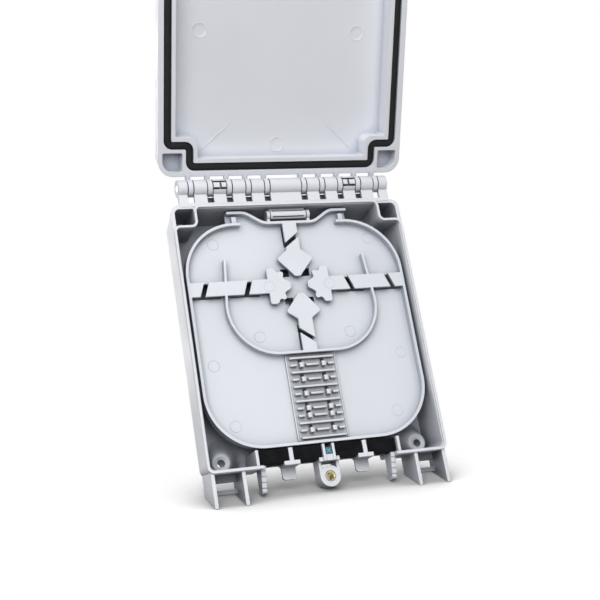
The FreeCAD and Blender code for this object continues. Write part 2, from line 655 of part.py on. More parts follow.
def cable_lugs():
    """Barbed lug beside each outer entry, leaning back, with a tie hole through its round end."""
    front = "lug_set - base_d"
    back = f"{front} + lug_d"
    top = f"{ENTRY_FOOT} + plate_foot - foam_play"
    tip = f"{ENTRY_FOOT} - lug_drop"
    corners = []
    for i in range(LUG_TEETH):
        step = f"{front} + lug_lean * {i} / {LUG_TEETH}"
        pitch = f"(lug_drop + plate_foot) / {LUG_TEETH + 1}"
        corners += [
            (step, f"{top} - {i} * {pitch}"),
            (f"{step} + lug_tooth / 3", f"{top} - {i + TOOTH_FACE} * {pitch}"),
            (f"{step} + lug_tooth", f"{top} - {i + TOOTH_BACK} * {pitch}"),
        ]
    corners += [
        (f"{front} + lug_lean", tip, "lug_d / 5"),
        (back, tip, "lug_d / 5"),
        (back, f"{top} + tee_bar"),
        (f"{PLATE_Y} + plate_t / 4", f"{top} + tee_bar"),
        (f"{PLATE_Y} + plate_t / 4", top),
    ]
    body = slab("lug_solid", outline("lug_shape", corners, "lug_x - lug_t / 2", SIDE), "lug_t", RIGHTWARD)
    hole_place = (f"{front} + (lug_lean + lug_d) / 2", f"{tip} + lug_hole_up")
    hole = rod("lug_tie_hole", "X", hole_place, "lug_hole", about("lug_x", "lug_t"))
    return both(cut("lug", body, [hole]))


def feet():
    """Two slanted plates under each lower corner, tied by a cross bar and a short web."""
    corners = [
        (f"{LIP_Y} + lip_h", f"{ENTRY_FOOT} + wall / 2"),
        (f"{LIP_Y} + lip_h", f"{ENTRY_FOOT} - foot_front"),
        (f"{LIP_Y} + foot_d", f"{ENTRY_FOOT} - foot_back"),
        (f"{LIP_Y} + foot_d", f"{ENTRY_FOOT} + wall / 2 + draft"),
    ]
    pieces = []
    for name, middle in (("foot_inner", "foot_in"), ("foot_outer", "foot_out")):
        shape = outline(name + "_shape", corners, f"{middle} - foot_t / 2", SIDE)
        pieces += both(slab(name, shape, "foot_t", RIGHTWARD))
    span = ("foot_in", "foot_out")
    bar_y = (f"{LIP_Y} + foot_bar_set", f"{LIP_Y} + foot_bar_set + foot_bar_t")
    bar_foot = f"{ENTRY_FOOT} - foot_bar_z"
    bar = box("foot_bar", span, bar_y, (bar_foot, f"{bar_foot} + foot_bar_h"))
    web = box("foot_web", span, bar_y, (f"{ENTRY_FOOT} - foot_bar_h", f"{ENTRY_FOOT} + wall / 2 + draft"))
    return pieces + both(bar) + both(web)


def hinge_barrels():
    """Row of barrels on a web, with a gap and slot for each lid strap and a snap window for each pin."""
    span = even("barrel_half")
    barrel = rod("barrel", "X", (AXIS_Y, AXIS_Z), "barrel_r", span)
    web_y = (f"{LIP_Y} + web_set", f"{LIP_Y} + web_set + web_t")
    web = box("hinge_web", span, web_y, ("base_h / 2 - wall / 2", AXIS_Z))
    rib = box("hinge_rib", even("rib_half"), (f"{LIP_Y} + rib_set", f"{LIP_Y} + rib_set + rib_t"),
              ("base_h / 2 - wall", "base_h / 2 + rib_h"))
    tools = [rod("pin_bore", "X", (AXIS_Y, AXIS_Z), "pin_r + pin_fit", past(*span))]
    reach = "(barrel_r + strap_gap)"
    room = "(strap_w / 2 + strap_gap)"
    for i, middle in enumerate(STRAP_X):
        gap = box(f"strap_gap_{i}", about(middle, room), about(AXIS_Y, reach),
                  ("base_h / 2 + slot_foot", f"{AXIS_Z} + {reach}"))
        tools += both(gap)
    low = f"{STRAP_X[2]} + strap_w / 2"
    high = f"{STRAP_X[3]} - strap_w / 2"
    cross = f"({low}) * (1 - snap_share) + ({high}) * snap_share"
    front = (f"{AXIS_Y} - barrel_r - cut_over", f"{AXIS_Y} - pin_r")
    for name, x, z in (
        ("snap_upper", (low, high), (f"{AXIS_Z} + snap_rise", f"{AXIS_Z} + snap_rise + snap_h")),
        ("snap_lower", (low, high), (f"{AXIS_Z} - snap_rise - snap_h", f"{AXIS_Z} - snap_rise")),
        ("snap_cross", (cross, f"{cross} + snap_h"), about(AXIS_Z, "snap_rise")),
    ):
        tools += both(box(name, x, front, z))
    return [rib, cut("hinge", join("hinge_solid", [barrel, web]), tools)]


def cassette_knuckle():
    """Grooved knuckle under the top wall that carries the cassette's pin, on a short web."""
    half = "(ear_x - swing_ear / 2 - swing_play)"
    span = (f"-{half}", half)
    knuckle = rod("knuckle", "X", (SWING_Y, "swing_z"), "swing_eye", span)
    web = box("knuckle_web", span, (f"{SWING_Y} + pin_fit", f"{SWING_Y} + swing_eye"),
              ("swing_z", "base_h / 2 - wall / 2"))
    bore = rod("knuckle_bore", "X", (SWING_Y, "swing_z"), "swing_pin + pin_fit", ("-ear_x", "ear_x"))
    grooves = []
    groove_x = even(f"{half} - groove_end")
    groove_y = (f"{SWING_Y} - swing_eye - cut_over", f"{SWING_Y} - pin_fit")
    for name, sign in (("high", "+"), ("low", "-")):
        middle = f"swing_z {sign} groove_rise"
        grooves.append(box(f"knuckle_groove_{name}", groove_x, groove_y, about(middle, "groove_h / 2")))
    return [cut("knuckle_solid", join("knuckle_body", [knuckle, web]), [bore] + grooves)]


def floor_fittings():
    """Screw bosses, cassette rests and the rails of the fibre adapter."""
    pieces = []
    for name, place, height, flare in (
        ("boss_lower", ("screw_low_x", "-screw_low_z"), "boss_low", "boss_flare"),
        ("boss_upper", ("screw_top_x", "screw_top_z"), "boss_top", "0"),
    ):
        foot_radius = f"boss_r + {flare} + boss_draft"
        body = cone(name, place, foot_radius, "boss_r", (f"{FLOOR_Y} - {height}", f"{FLOOR_Y} / 2"))
        pieces += both(body)
    rest = rod("rest_post", "Y", ("rest_x", "-rest_z"), "rest_r", (TRAY_BACK_Y, f"{FLOOR_Y} / 2"))
    pieces += both(rest)
    rail_x = "adapter_w / 2 + part_gap"
    rail = box("adapter_rail", (rail_x, f"{rail_x} + rail_t"), (f"{FLOOR_Y} - rail_h", f"{FLOOR_Y} / 2"),
               about("adapter_z", "rail_l / 2"))
    return pieces + both(rail)


def screw_holes():
    """Wall screw holes through bosses and floor."""
    tools = []
    for name, place in (
        ("hole_lower", ("screw_low_x", "-screw_low_z")),
        ("hole_upper", ("screw_top_x", "screw_top_z")),
    ):
        tools += both(rod(name, "Y", place, "screw_r", (f"{LIP_Y} + wall", "cut_over")))
    return tools


def make_base():
    """The base moulding."""
    solid, tray = base_walls()
    solids = [tray, base_lip()] + pocket_walls(solid) + entry_walls(solid)
    solids += screw_ear() + cable_lugs() + feet()
    solids += hinge_barrels() + cassette_knuckle() + floor_fittings()
    return cut("base_shell", join("base_union", solids), screw_holes())


def make_hinge_pins():
    """Two pins that meet in the long middle barrel."""
    pins = []
    for name, span in (
        ("hinge_pin_left", ("-barrel_half", "-part_gap")),
        ("hinge_pin_right", ("part_gap", "barrel_half")),
    ):
        pins.append(rod(name, "X", (AXIS_Y, AXIS_Z), "pin_r", span))
    return pins


def lid_walls():
    """Drafted cover with its groove, its hollow and its two corner pockets."""

    def section(name, inset, corner, place):
        top = f"{LID_TOP} - {inset}"
        return outline(name, plate_corners(f"{LID_HALF} - {inset}", top, top, corner), place)

    outside = [
        section("lid_rim_line", "0", "lid_corner", LID_Y),
        section("lid_mid_line", "lid_draft", "lid_corner", f"{LID_FACE_Y} + back_edge"),
        section("lid_face_line", "(lid_draft + back_edge)", "lid_corner - back_edge", LID_FACE_Y),
    ]
    reach = "(groove_w / 2)"
    groove = seal_ring("groove", reach, "seal_bend", f"{LID_Y} - groove_d", "groove_d + cut_over")
    ledge = seal_corners(f"0 - {reach} - inner_lip", "hollow_bend", "hollow_step")
    hollow_line = outline("lid_hollow_line", ledge, f"{LID_FACE_Y} + lid_panel")
    hollow = slab("lid_hollow", hollow_line, "lid_d - lid_panel + cut_over")
    pocket_in = f"base_w / 2 - pocket_w + {reach} + lid_pocket_wall"
    pocket_low = f"base_h / 2 - pocket_h + {reach} + lid_pocket_wall"
    pocket_line = outline("lid_pocket_line", [
        (pocket_in, pocket_low, "lid_pocket_bend"),
        (f"{LID_HALF} - lid_rim", pocket_low, "lid_pocket_bend"),
        (f"{LID_HALF} - lid_rim", f"{LID_TOP} - lid_rim", "lid_corner - lid_rim"),
        (pocket_in, f"{LID_TOP} - lid_rim", "lid_pocket_bend"),
    ], f"{LID_Y} - lid_pocket_d")
    pocket = slab("lid_pocket", pocket_line, "lid_pocket_d + cut_over")
    return skin("lid_solid", outside), [groove, hollow] + both(pocket)


def lid_straps():
    """Hinge straps: an eye round the pin and a flat shank into the lid's wall."""
    straps = []
    for i, middle in enumerate(STRAP_X):
        span = about(middle, "strap_w / 2")
        eye = rod(f"strap_eye_{i}", "X", (AXIS_Y, AXIS_Z), "barrel_r", span)
        shank = box(f"strap_shank_{i}", span, (f"{AXIS_Y} - barrel_r", f"{LID_Y} + lid_skirt / 2"),
                    (f"{LID_TOP} - lid_rim / 2", AXIS_Z))
        straps += both(eye) + both(shank)
    bore = rod("strap_bore", "X", (AXIS_Y, AXIS_Z), "pin_r + pin_fit", even("barrel_half"))
    return straps, bore


BOSS_FRONT_Y = f"({LID_FACE_Y} + boss_front)"
BOSS_BACK_Y = f"({LID_Y} - lid_skirt - washer_t)"


def lid_screw_boss():
    """Round boss at the lid's free end for the closing screw, with room for its head and its washer."""
    axis = ("0", EAR_Z)
    radius = "screw_head_r + head_room"
    depth = (BOSS_FRONT_Y, BOSS_BACK_Y)
    boss = rod("lid_boss", "Y", axis, radius, depth)
    neck = box("lid_boss_neck", even(radius), depth, (EAR_Z, f"-{LID_TOP} + lid_rim"))
    bore = rod("lid_boss_bore", "Y", axis, "shank_r + pin_fit", past(*depth))
    head = rod("lid_head_room", "Y", axis, radius, (f"{LID_FACE_Y} - cut_over", BOSS_FRONT_Y))
    washer = rod("lid_washer_room", "Y", axis, "washer_r + head_room", (BOSS_BACK_Y, f"{LID_Y} + cut_over"))
    return [boss, neck], [bore, head, washer]


def make_lid():
    """The lid moulding."""
    body, hollows = lid_walls()
    boss, rooms = lid_screw_boss()
    cover = cut("lid_cover", join("lid_body", [body] + boss), hollows + rooms)
    straps, bore = lid_straps()
    return cut("lid_shell", join("lid_union", [cover] + straps), [bore])


def make_gasket():
    """Foam gasket that fills the lid's groove."""
    floor = f"{LID_Y} - groove_d + gasket_fit"
    height = f"({LIP_Y} - gasket_set) - ({floor})"
    return seal_ring("lid_gasket", "(groove_w / 2 - gasket_fit)", "seal_bend", floor, height)


def make_closing_screw():
    """Captive screw with a slotted head, and the washer that holds it in the boss."""
    head_back = f"{BOSS_FRONT_Y} - gasket_set"
    tip = f"{EAR_Y} + screw_bite"
    axis = ("0", EAR_Z)
    face = f"{head_back} - screw_head_h"
    shank = rod("screw_shank", "Y", axis, "shank_r", (head_back, tip))
    head = rod("screw_head", "Y", axis, "screw_head_r", (face, head_back))
    slot_y = (f"{face} - cut_over", f"{face} + screw_slot_d")
    slot = box("screw_slot_cut", even("screw_head_r + cut_over"), slot_y, about(EAR_Z, "screw_slot / 2"))
    screw = cut("lid_screw", join("screw_body", [shank, head]), [slot])
    washer_y = f"{BOSS_BACK_Y} + gasket_set"
    thick = (washer_y, f"{washer_y} + washer_t")
    ring = rod("washer_disc", "Y", axis, "washer_r", thick)
    hole = rod("washer_hole", "Y", axis, "shank_r + press_fit", past(*thick))
    return [screw, cut("lid_screw_washer", ring, [hole])]


def cassette_tray():
    """Floor, open rim, top wall and guide wall of the cassette."""
    half = "tray_rim / 2"
    plate_line = plate_corners("tray_half", "tray_top", "tray_foot", "tray_corner")
    plate = slab("tray_plate", outline("tray_plate_line", plate_line, TRAY_FLOOR_Y), "tray_floor")
    crown = [
        (f"brow_half + {half}", "tray_top - tray_corner"),
        (f"brow_half + {half}", f"brow_z + {half}"),
        ("brow_out", f"brow_z + {half}", f"brow_bend + {half}"),
        ("brow_in", f"brow_low + {half}", f"brow_bend - {half}"),
    ]
    crown_line = outline("crown_line", crown + opposite(crown), TRAY_FLOOR_Y)
    crown_plate = slab("crown_plate", crown_line, "tray_floor")
    height = "tray_d + tray_floor / 2"
    side = f"tray_half - {half}"
    low = f"-(tray_foot - {half})"
    top = f"tray_top - {half}"
    bend = f"tray_corner - {half}"
    rim_half = [("tray_gap", top), (side, top, bend), (side, low, bend)]
    rim_line = outline("tray_wall_line", rim_half + opposite(rim_half), TRAY_Y, closed=False)
    rim = fence("tray_wall", rim_line, "tray_rim", height)
    brow_half = [
        ("brow_half", "brow_z"),
        ("brow_out", "brow_z", "brow_bend"),
        ("brow_in", "brow_low", "brow_bend"),
    ]
    brow_line = outline("brow_wall_line", brow_half + opposite(brow_half), TRAY_Y, closed=False)
    brow = fence("brow_wall", brow_line, "tray_rim", height)
    guide_half = [("guide_half - guide_lean", "guide_top"), ("guide_half", "-guide_low", "guide_bend")]
    guide_line = outline("guide_wall_line", guide_half + opposite(guide_half), TRAY_Y, closed=False)
    guide = fence("guide_wall", guide_line, "guide_t", height)
    post_y = (f"{TRAY_Y} + tray_rim / 2", f"{TRAY_FLOOR_Y} + tray_floor / 2")
    post_z = ("tray_top - tray_rim", "tube_post_top")
    post = box("tube_post", about("tube_post_x", "tube_post_w / 2"), post_y, post_z)
    return [plate, crown_plate], [rim, brow, guide] + both(post)


def head_points(kind, sign):
    """Bent corners of an arm's head on one side."""
    count = len(ARM_HEADS[kind])
    return [(f"{kind}_head_x{i}", f"arm_z {sign} {kind}_head_z{i}", "head_bend") for i in range(count)]


def side_arm_corners():
    """Right side arm, even about the line of the side arms."""
    halves = []
    for sign in "+-":
        edge_z = f"arm_z {sign} arm_half"
        edge = [("tray_half - tray_rim / 2", edge_z), ("side_head_x0", edge_z)]
        halves.append(edge + head_points("side", sign))
    return halves[0] + halves[1][::-1]


def middle_arm_corners(kind, root, neck, sign):
    """Top or foot arm, even about the middle plane."""
    half = [("arm_half", root), ("arm_half", f"arm_z {sign} {neck}")] + head_points(kind, sign)
    return half + opposite(half)


def retaining_arms():
    """Flat arms over the tray, each with a shaped head at the middle."""
    arms = []
    for name, corners in (
        ("side_arm", side_arm_corners()),
        ("top_arm", middle_arm_corners("top", "brow_low", "neck_top", "+")),
        ("foot_arm", middle_arm_corners("foot", "-guide_low", "neck_foot", "-")),
    ):
        arms.append(slab(name, outline(f"{name}_line", corners, TRAY_Y), "arm_t"))
    return [mirrored(arms[0])] + arms


def floor_openings():
    """Slots in the tray's floor below the arms, clear of the guide wall, and four holes by the heads."""
    floor = (f"{TRAY_FLOOR_Y} - tray_floor", f"{TRAY_BACK_Y} + tray_floor")
    high = about("arm_z", "arm_half + slot_over")
    inner_x = ("post_side + post_long / 2", "guide_half - guide_lean - bridge_half")
    outer_x = ("guide_half - guide_lean / 2 + bridge_half", "tray_half - tray_rim")
    openings = both(box("side_slot_inner", inner_x, floor, high))
    openings += both(box("side_slot_outer", outer_x, floor, high))
    top_z = ("arm_z + post_top + post_long / 2", "brow_low - tray_rim")
    foot_z = ("-guide_low + guide_t", "arm_z - post_foot - post_long / 2")
    openings.append(box("top_slot", even("arm_half"), floor, top_z))
    openings.append(box("foot_slot", even("arm_half"), floor, foot_z))
    hole_x = ("head_hole_in", "head_hole_out")
    up_z = ("arm_z + head_hole_low", "arm_z + head_hole_high")
    down_z = ("arm_z - head_hole_high", "arm_z - head_hole_low")
    openings += both(box("head_hole_up", hole_x, floor, up_z))
    openings += both(box("head_hole_down", hole_x, floor, down_z))
    return openings


def arm_slits():
    """Slanted slits, each a parallelogram through its arm."""
    slits = []
    front = f"{TRAY_Y} - cut_over"
    through = "arm_t + 2 * cut_over"
    low, high = about("arm_z", "arm_half + cut_over / 2")
    half = "slit_w / 2"
    for name, middle in (("inner_slit", "slit_in"), ("outer_slit", "(tray_half - slit_end)")):
        line = outline(name, [
            (f"{middle} + slit_lean / 2 - {half}", low),
            (f"{middle} + slit_lean / 2 + {half}", low),
            (f"{middle} - slit_lean / 2 + {half}", high),
            (f"{middle} - slit_lean / 2 - {half}", high),
        ], front)
        slits += both(slab(name + "_cut", line, through))
    left, right = even("arm_half + cut_over / 2")
    for name, middle, rise in (
        ("top_slit", "arm_z + slit_top", "slit_lean"),
        ("foot_slit", "arm_z - slit_foot", "(-slit_lean)"),
    ):
        line = outline(name, [
            (left, f"{middle} - {rise} - {half}"),
            (right, f"{middle} + {rise} - {half}"),
            (right, f"{middle} + {rise} + {half}"),
            (left, f"{middle} - {rise} + {half}"),
        ], front)
        slits.append(slab(name + "_cut", line, through))
    return slits


def arm_posts():
    """Posts on the tray's floor that carry the arms beside their heads."""
    long = "post_long / 2"
    thin = "guide_t / 2"
    rise = (f"{TRAY_Y} + arm_t / 2", f"{TRAY_FLOOR_Y} + tray_floor / 2")
    posts = both(box("side_post", about("post_side", long), rise, about("arm_z", thin)))
    for name, z in (("top", "arm_z + post_top"), ("foot", "arm_z - post_foot")):
        posts.append(box(name + "_post", even(thin), rise, about(z, long)))
    return posts


def cassette_ears():
    """Two hinge ears on the cassette's top wall, bored for the pin."""
    span = about("ear_x", "swing_ear / 2")
    eye = rod("swing_eye_disc", "X", (SWING_Y, "swing_z"), "swing_eye", span)
    shank = box("swing_shank", span, (TRAY_Y, f"{SWING_Y} + swing_eye"), ("brow_low", "swing_z"))
    bore = rod("swing_bore", "X", (SWING_Y, "swing_z"), "swing_pin + press_fit", even("ear_x + swing_ear"))
    return both(eye) + both(shank), bore


def make_cassette():
    """The cassette moulding and its hinge pin."""
    plates, walls = cassette_tray()
    ears, bore = cassette_ears()
    floor = cut("tray_floor_plate", join("tray_floor_union", plates), floor_openings())
    flat_arms = cut("slit_arms", join("arm_union", retaining_arms()), arm_slits())
    union = join("cassette_union", [floor] + walls + [flat_arms] + arm_posts() + ears)
    tray = cut("splice_cassette", union, [bore])
    pin = rod("cassette_hinge_pin", "X", (SWING_Y, "swing_z"), "swing_pin", even("ear_x + swing_ear / 2"))
    return [tray, pin]


def make_splice_holder():
    """Comb of full ribs, and of ribs broken by posts, on a thin plate with a rail along each side."""
    back = f"({TRAY_FLOOR_Y})"
    base = f"({back} - comb_plate)"
    length = (f"-comb_top - {COMB_LAST} * comb_pitch - comb_edge", "-guide_low - guide_t / 2 - part_gap")
    plate = box("comb_base", even("comb_half"), (base, back), length)
    rail_y = (f"{base} - comb_rail_h", f"{base} + comb_plate / 2")
    rails = both(box("comb_rail", ("comb_half - comb_rail", "comb_half"), rail_y, length))
    pieces = [plate] + rails

    def rib(name, row, x, width, height):
        middle = f"-comb_top - {row} * comb_pitch"
        depth = (f"{base} - {height}", f"{base} + comb_plate / 2")
        return box(name, x, depth, about(middle, f"{width} / 2"))

    for row in COMB_FULL_RIBS:
        pieces.append(rib(f"comb_rib_{row}", row, even("comb_rib_half"), "comb_rib", "comb_h"))
    inner, outer = about("comb_post_x", "comb_break")
    post_x = about("comb_post_x", "comb_post_w / 2")
    for row in COMB_BROKEN_RIBS:
        pieces.append(rib(f"comb_mid_{row}", row, even(inner), "comb_rib", "comb_h"))
        pieces += both(rib(f"comb_end_{row}", row, (outer, "comb_rib_half"), "comb_rib", "comb_h"))
        pieces += both(rib(f"comb_post_{row}", row, post_x, "comb_post_l", "comb_post_h"))
    return join("splice_holder", pieces)


def make_entry_seals():
    """Foam block in each entry, notched over the tee's bar, the ear's bar and the bottom wall's end."""
    top = "-entry_top"
    foot = f"{ENTRY_FOOT} + plate_foot"
    ledge = f"{ENTRY_FOOT} + tee_foot + tee_bar + foam_play"
    guard = "guard_x + guard_t / 2 + foam_play"
    ear = "ear_half + foam_play"
    edge = "open_half - foam_play"
    step = f"{ENTRY_FOOT} + wall + draft + foam_play"
    side = "partition_x - partition_t / 2 - foam_play"
    tee_near, tee_far = about("tee_x", "tee_post / 2 + foam_play")
    bar_near, bar_far = about("tee_x", "tee_half + foam_play")
    shapes = {
        "inner": [
            (guard, ledge), (ear, ledge), (ear, foot), (bar_near, foot),
            (bar_near, ledge), (tee_near, ledge), (tee_near, top), (guard, top),
        ],
        "outer": [
            (tee_far, ledge), (bar_far, ledge), (bar_far, foot), (edge, foot),
            (edge, step), (side, step), (side, top), (tee_far, top),
        ],
    }
    seals = []
    for name, kind, sign in (
        ("entry_seal_1", "outer", "-"),
        ("entry_seal_2", "inner", "-"),
        ("entry_seal_3", "inner", ""),
        ("entry_seal_4", "outer", ""),
    ):
        corners = [(f"{sign}({x})", z) for x, z in shapes[kind]]
        line = outline(name + "_line", corners, "foam_set - base_d")
        seals.append(slab(name, line, "plate_set - foam_set - foam_play"))
    return seals


def make_insert_and_plug():
    """Brass insert in the ear, and the small plug between the guard posts."""
    span = (EAR_Y, f"{EAR_Y} + insert_len")
    body = rod("insert_body", "Y", ("0", EAR_Z), "insert_r", span)
    bore = rod("insert_hole", "Y", ("0", EAR_Z), "insert_bore", past(*span))
    insert = cut("screw_insert", body, [bore])
    half = "(guard_x - guard_t / 2 - part_gap)"
    top = "-entry_top - plug_top"
    right = [(half, PLUG_FOOT), (half, f"{top} - plug_bevel"), (f"{half} - plug_bevel", top)]
    plug_line = outline("plug_shape", right + opposite(right), f"{ENTRY_Y} - guard_ahead / 2")
    plug = slab("port_plug", plug_line, "plug_len")
    return [insert, plug]


def make_adapter():
    """Fibre adapter: keyed housing, two latches, an alignment sleeve and a spring clip round it."""
    back = FLOOR_Y
    front = f"({FLOOR_Y} - adapter_t)"
    mid_y = f"({FLOOR_Y} - adapter_t / 2)"
    long = "adapter_l / 2"
    side = "(adapter_w / 2)"
    low = f"(adapter_z - {long})"
    high = f"(adapter_z + {long})"
    body = box("adapter_block", even(side), (front, back), (low, high))
    inside_x = f"({side} - adapter_wall)"
    inside_y = (f"{front} + adapter_wall", f"{back} - adapter_wall")
    room = box("adapter_room", even(inside_x), inside_y, past(low, high))
    key_x = even("adapter_key / 2")
    key_y = past(front, f"{front} + adapter_wall")
    keys = [
        box("adapter_key_low", key_x, key_y, (f"{low} - cut_over", f"{low} + key_l")),
        box("adapter_key_high", key_x, key_y, (f"{high} - key_l", f"{high} + cut_over")),
    ]
    skin_t = "(clip_t + part_gap)"
    seat_block = box("clip_seat_block", even(f"{side} + cut_over"), past(front, back),
                     about("adapter_z", "clip_l / 2 + part_gap"))
    seat_y = (f"{front} + {skin_t}", f"{back} + 2 * cut_over")
    seat_core = box("clip_seat_core", even(f"{side} - {skin_t}"), seat_y, (low, high))
    housing = cut("fibre_adapter", body, [room, cut("clip_seat", seat_block, [seat_core])] + keys)
    clip_y = (front, f"{back} - part_gap")
    clip_block = box("clip_block", even(side), clip_y, about("adapter_z", "clip_l / 2"))
    clip_core = box("clip_core", even(f"{side} - clip_t"), (f"{front} + clip_t", f"{back} + cut_over"),
                    about("adapter_z", "clip_l"))
    clip = cut("adapter_clip", clip_block, [clip_core])
    middle = ("0", mid_y)
    tube = rod("sleeve_body", "Z", middle, "sleeve_r", about("adapter_z", "sleeve_len / 2"))
    hole = rod("sleeve_hole", "Z", middle, "sleeve_bore", about("adapter_z", "sleeve_len"))
    pieces = [housing, clip, cut("adapter_sleeve", tube, [hole])]
    play_x = f"({inside_x} - part_gap)"
    play_y = (f"{inside_y[0]} + part_gap", f"{inside_y[1]} - part_gap")
    near_low, near_high = about("adapter_z", "latch_gap / 2")
    wall_low = (f"{near_low} - latch_wall", near_low)
    wall_high = (near_high, f"{near_high} + latch_wall")
    for name, span, wall_z in (
        ("adapter_latch_low", (f"{near_low} - latch_len", near_low), wall_low),
        ("adapter_latch_high", (near_high, f"{near_high} + latch_len"), wall_high),
    ):
        wall = box(name + "_wall", even(play_x), play_y, wall_z)
        tube = rod(name + "_tube", "Z", middle, "latch_eye", span)
        bore = rod(name + "_bore", "Z", middle, "sleeve_r + part_gap", about("adapter_z", "adapter_l"))
        arm = box(name + "_arm", (f"{play_x} - latch_wall", play_x), play_y, span)
        pieces.append(cut(name, join(name + "_body", [wall, tube] + both(arm)), [bore]))
    return pieces


def opened(piece):
    """Swing a lid piece, made closed, about the hinge axis to the opening shown."""
    piece.Placement = Placement(Vector(), Rotation(-RIGHTWARD, size("lid_rest")))
    cosine = "cos(lid_rest * 1 deg)"
    sine = "sin(lid_rest * 1 deg)"
    bind(piece, y=f"{AXIS_Y} - {AXIS_Y} * {cosine} - {AXIS_Z} * {sine}",
         z=f"{AXIS_Z} + {AXIS_Y} * {sine} - {AXIS_Z} * {cosine}")
    piece.setExpression("Placement.Rotation.Angle", bound("lid_rest"))
    return piece


fixed = [make_base(), make_splice_holder()] + make_hinge_pins() + make_cassette()
fixed += make_entry_seals() + make_insert_and_plug() + make_adapter()
lid_pieces = [make_lid(), make_gasket()] + make_closing_screw()

nodes = {piece.Name: piece for piece in fixed + [opened(piece) for piece in lid_pieces]}
for name, piece in nodes.items():
    piece.Label = name
doc.recompute()

faults = [thing.Name for thing in doc.Objects if {"Invalid", "Error"} & set(thing.State)]
if faults:
    raise RuntimeError(f"failed objects: {faults}")
for name, piece in nodes.items():
    if piece.Shape.isNull() or not piece.Shape.isValid() or len(piece.Shape.Solids) != 1:
        raise RuntimeError(f"{name}: {len(piece.Shape.Solids)} solids")

os.makedirs("parts", exist_ok=True)
for name, piece in nodes.items():
    piece.Shape.exportStep(f"parts/{name}.step")
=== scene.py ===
import json
import math

import bmesh
import bpy
import numpy as np
from bpy.props import FloatProperty, FloatVectorProperty, PointerProperty
from bpy.types import Operator, Panel, PropertyGroup
from mathutils import Matrix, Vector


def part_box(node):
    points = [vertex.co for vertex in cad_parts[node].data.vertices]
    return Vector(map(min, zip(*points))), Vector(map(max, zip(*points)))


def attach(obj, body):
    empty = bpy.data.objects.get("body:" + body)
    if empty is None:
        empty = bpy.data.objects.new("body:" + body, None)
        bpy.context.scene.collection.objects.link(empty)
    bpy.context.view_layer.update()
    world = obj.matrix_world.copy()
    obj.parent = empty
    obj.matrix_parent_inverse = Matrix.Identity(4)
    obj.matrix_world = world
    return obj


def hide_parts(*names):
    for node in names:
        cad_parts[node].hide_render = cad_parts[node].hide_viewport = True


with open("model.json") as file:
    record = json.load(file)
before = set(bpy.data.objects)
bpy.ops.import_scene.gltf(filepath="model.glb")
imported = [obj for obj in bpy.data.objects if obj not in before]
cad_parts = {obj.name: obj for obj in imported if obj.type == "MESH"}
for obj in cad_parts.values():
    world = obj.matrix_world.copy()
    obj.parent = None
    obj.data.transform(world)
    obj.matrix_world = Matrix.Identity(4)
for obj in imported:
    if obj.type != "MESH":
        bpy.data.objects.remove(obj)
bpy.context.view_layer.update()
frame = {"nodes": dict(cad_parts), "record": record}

bl_info = {
    "name": "Transition box finish",
    "version": (1, 0, 0),
    "blender": (4, 5, 0),
    "location": "View3D > Sidebar > Transition Box",
    "description": "Foam seals, threads, mould marks, materials and stage for a wall box for fibre joints",
    "category": "Object",
}

# The frame is in metres: X to the right, Y back into the wall, Z up. The back face lies on Y = 0.
JOINTS = {joint["name"]: joint for joint in frame["record"]["behaviour"]["joints"]}
LID_AXIS = np.array(JOINTS["lid_hinge"]["pos_m"])
LID_OPEN = math.radians(-JOINTS["lid_hinge"]["range_deg"][0])
LID_TURN = np.array([
    [1.0, 0.0, 0.0],
    [0.0, math.cos(LID_OPEN), -math.sin(LID_OPEN)],
    [0.0, math.sin(LID_OPEN), math.cos(LID_OPEN)],
])
NODE_SLOTS = {part["node"]: part["material_slot"] for part in frame["record"]["subparts"]}
ENTRY_SEALS = ("entry_seal_1", "entry_seal_2", "entry_seal_3", "entry_seal_4")

# Points closer than the first length are one point, and a sliver thinner than the second is dropped.
SEAM, SLIVER = 2e-7, 1e-7

# Each plastic's roughness, its grain's scale and depth, its edges' rounding (which also sets their painted
# highlight), how far from a wall painted shade reaches into it, to what share of its light that painted shade
# darkens it, how open it lies where no painted shade is left, and its sheen.
MOULDED_NAMES = ("roughness", "grain", "grain_depth", "rounding", "reach", "shade_gain", "clear", "sheen")
MOULDED = {
    "housing_grey": (0.46, 2400.0, 0.00003, 0.00055, 0.007, 0.50, 0.85, 0.5),
    # The deep base's copy of the housing, with painted shade that reaches further and darker.
    "housing_deep": (0.46, 2400.0, 0.00003, 0.00055, 0.026, 0.17, 0.85, 0.5),
    "cassette_white": (0.38, 3200.0, 0.000015, 0.0004, 0.028, 0.26, 0.95, 0.5),
    "comb_grey": (0.36, 3200.0, 0.000015, 0.0003, 0.009, 0.08, 1.0, 0.5),
    "adapter_green": (0.30, 3600.0, 0.00001, 0.0003, 0.001, 0.34, 0.85, 0.5),
    "latch_white": (0.36, 3600.0, 0.00001, 0.0002, 0.012, 0.34, 0.85, 0.5),
    "sleeve_white": (0.20, 4200.0, 0.000006, 0.0001, 0.012, 0.34, 0.85, 0.7),
    "plug_teal": (0.34, 3600.0, 0.00001, 0.0003, 0.012, 0.34, 0.85, 0.5),
}
# A pin leaves plastic smoother, and edges this low get no painted highlight. The plug's cross is paler than
# the plug, and takes little painted shade.
POLISH = {"roughness": 0.34, "grain": 2400.0, "grain_depth": 0.000008, "rounding": 0.000002}
CROSS = {"gain": 1.9, "reach": 0.001, "shade_gain": 0.8, "clear": 0.95}
# Each foam's least and greatest roughness, and its sheen.
FOAM = {"seal_black": (0.80, 0.98, 0.14), "gasket": (0.40, 0.66, 0.24)}
# The gasket's share of the foam's colour, and how far behind the comb's plate the painted shade in its pits
# starts.
GASKET_SHADE, PIT_EDGE = 0.60, 0.0001

